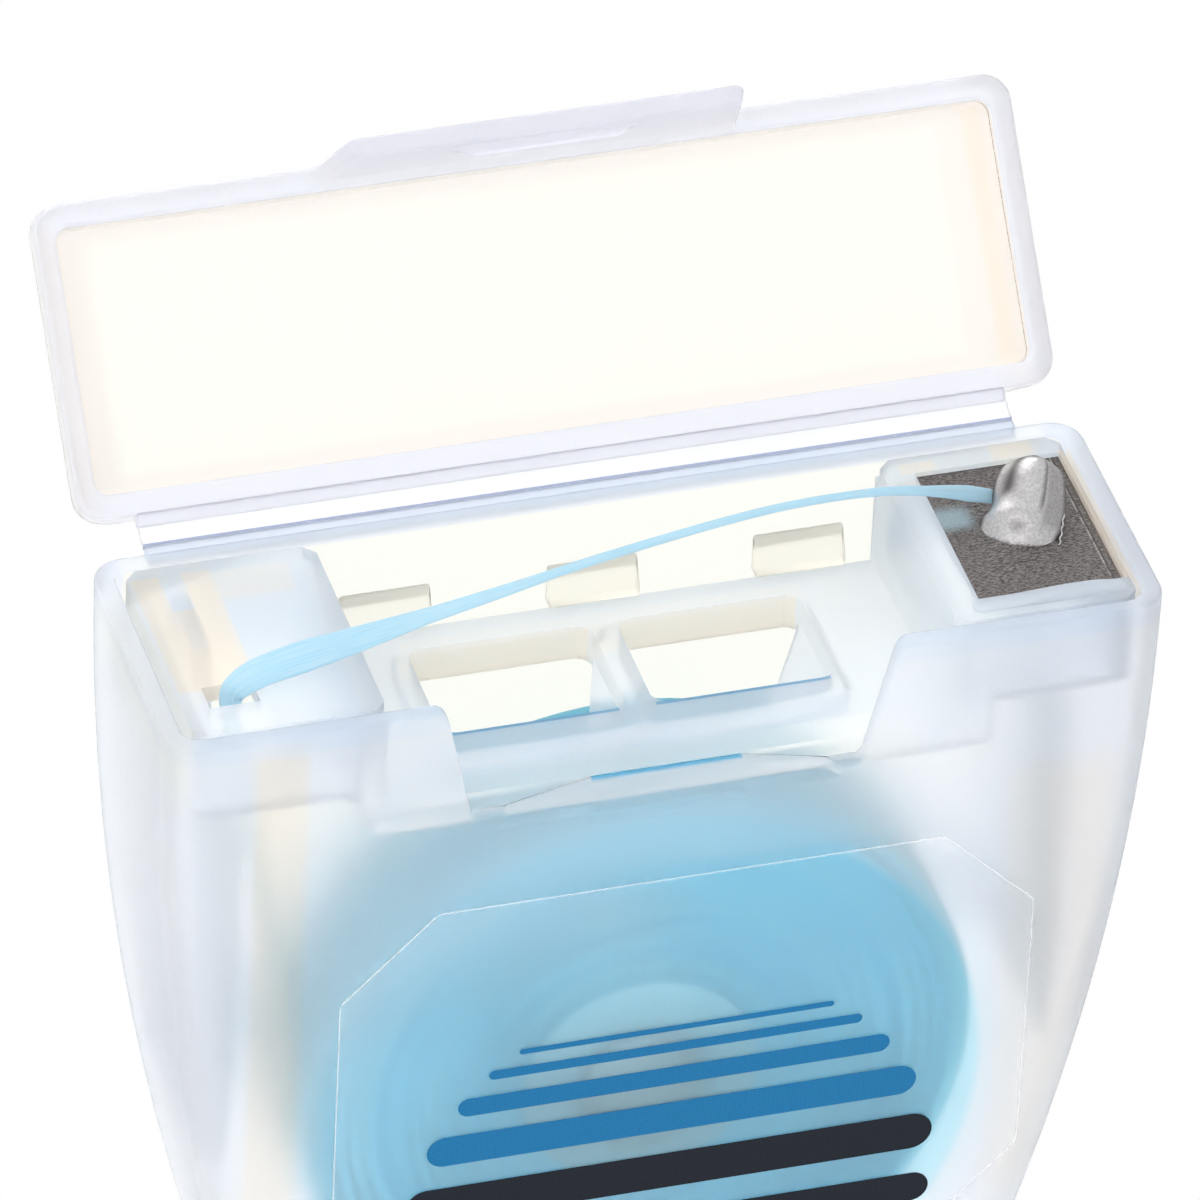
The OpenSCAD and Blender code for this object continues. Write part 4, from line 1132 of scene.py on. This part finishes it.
def stage_material(name, colour):
    """White to the camera, to gloss and through clear pieces, and to the rest a plain pale surface that takes
    the shadow."""
    n = Nodes(name)
    path = n.add("ShaderNodeLightPath")
    through = path.outputs["Is Transmission Ray"]
    seen = n.math("MAXIMUM", path.outputs["Is Camera Ray"], path.outputs["Is Glossy Ray"])
    seen = n.math("MAXIMUM", seen, through)
    glow = n.add("ShaderNodeEmission")
    n.link(n.mix(through, (1.0, 1.0, 1.0), (1.02, 1.04, 1.07)), glow.inputs["Color"])
    mix = n.add("ShaderNodeMixShader")
    n.set(Base_Color=colour, Roughness=0.9)
    n.link(seen, mix.inputs[0])
    n.link(n.shader.outputs[0], mix.inputs[1])
    n.link(glow.outputs[0], mix.inputs[2])
    n.link(mix.outputs[0], n.tree.nodes["Material Output"].inputs["Surface"])
    return n.material


def make_stage():
    """A wide pale floor, a white surround and soft lamps, the brightest from behind."""
    mesh = bpy.data.meshes.new("floor")
    mesh.from_pydata([(-2, -2, 0), (2, -2, 0), (2, 2, 0), (-2, 2, 0)], [], [(0, 1, 2, 3)])
    floor = bpy.data.objects.new("floor", mesh)
    bpy.context.scene.collection.objects.link(floor)
    mesh.materials.append(stage_material("floor", (0.93, 0.93, 0.93)))
    world = bpy.data.worlds.new("world")
    bpy.context.scene.world = world
    world.use_nodes = True
    tree = world.node_tree
    background = tree.nodes["Background"]
    background.inputs["Color"].default_value = (1, 1, 1, 1)
    path = tree.nodes.new("ShaderNodeLightPath")
    level = 0.95  # for light on the pieces; rays that look at the surround add to it
    for ray, extra in (("Is Camera Ray", 0.05), ("Is Glossy Ray", 0.05), ("Is Transmission Ray", 0.11)):
        more = tree.nodes.new("ShaderNodeMath")
        more.operation = "MULTIPLY_ADD"
        tree.links.new(path.outputs[ray], more.inputs[0])
        more.inputs[1].default_value = extra
        feed(tree, more.inputs[2], level)
        level = more.outputs[0]
    tree.links.new(level, background.inputs["Strength"])
    for name, place_at, size, power in (("back", (-0.1, 0.6, 0.5), 0.5, 3.0), ("key", (-0.4, -0.5, 0.6), 0.4, 2.0)):
        data = bpy.data.lights.new(name, "AREA")
        data.size, data.energy = size, power
        lamp = bpy.data.objects.new(name, data)
        bpy.context.scene.collection.objects.link(lamp)
        lamp.location = place_at
        lamp.rotation_mode = "QUATERNION"
        lamp.rotation_quaternion = (Vector((0, 0, 0.035)) - Vector(place_at)).to_track_quat("-Z", "Y")


make_stage()
bpy.context.scene.view_settings.view_transform = "Standard"
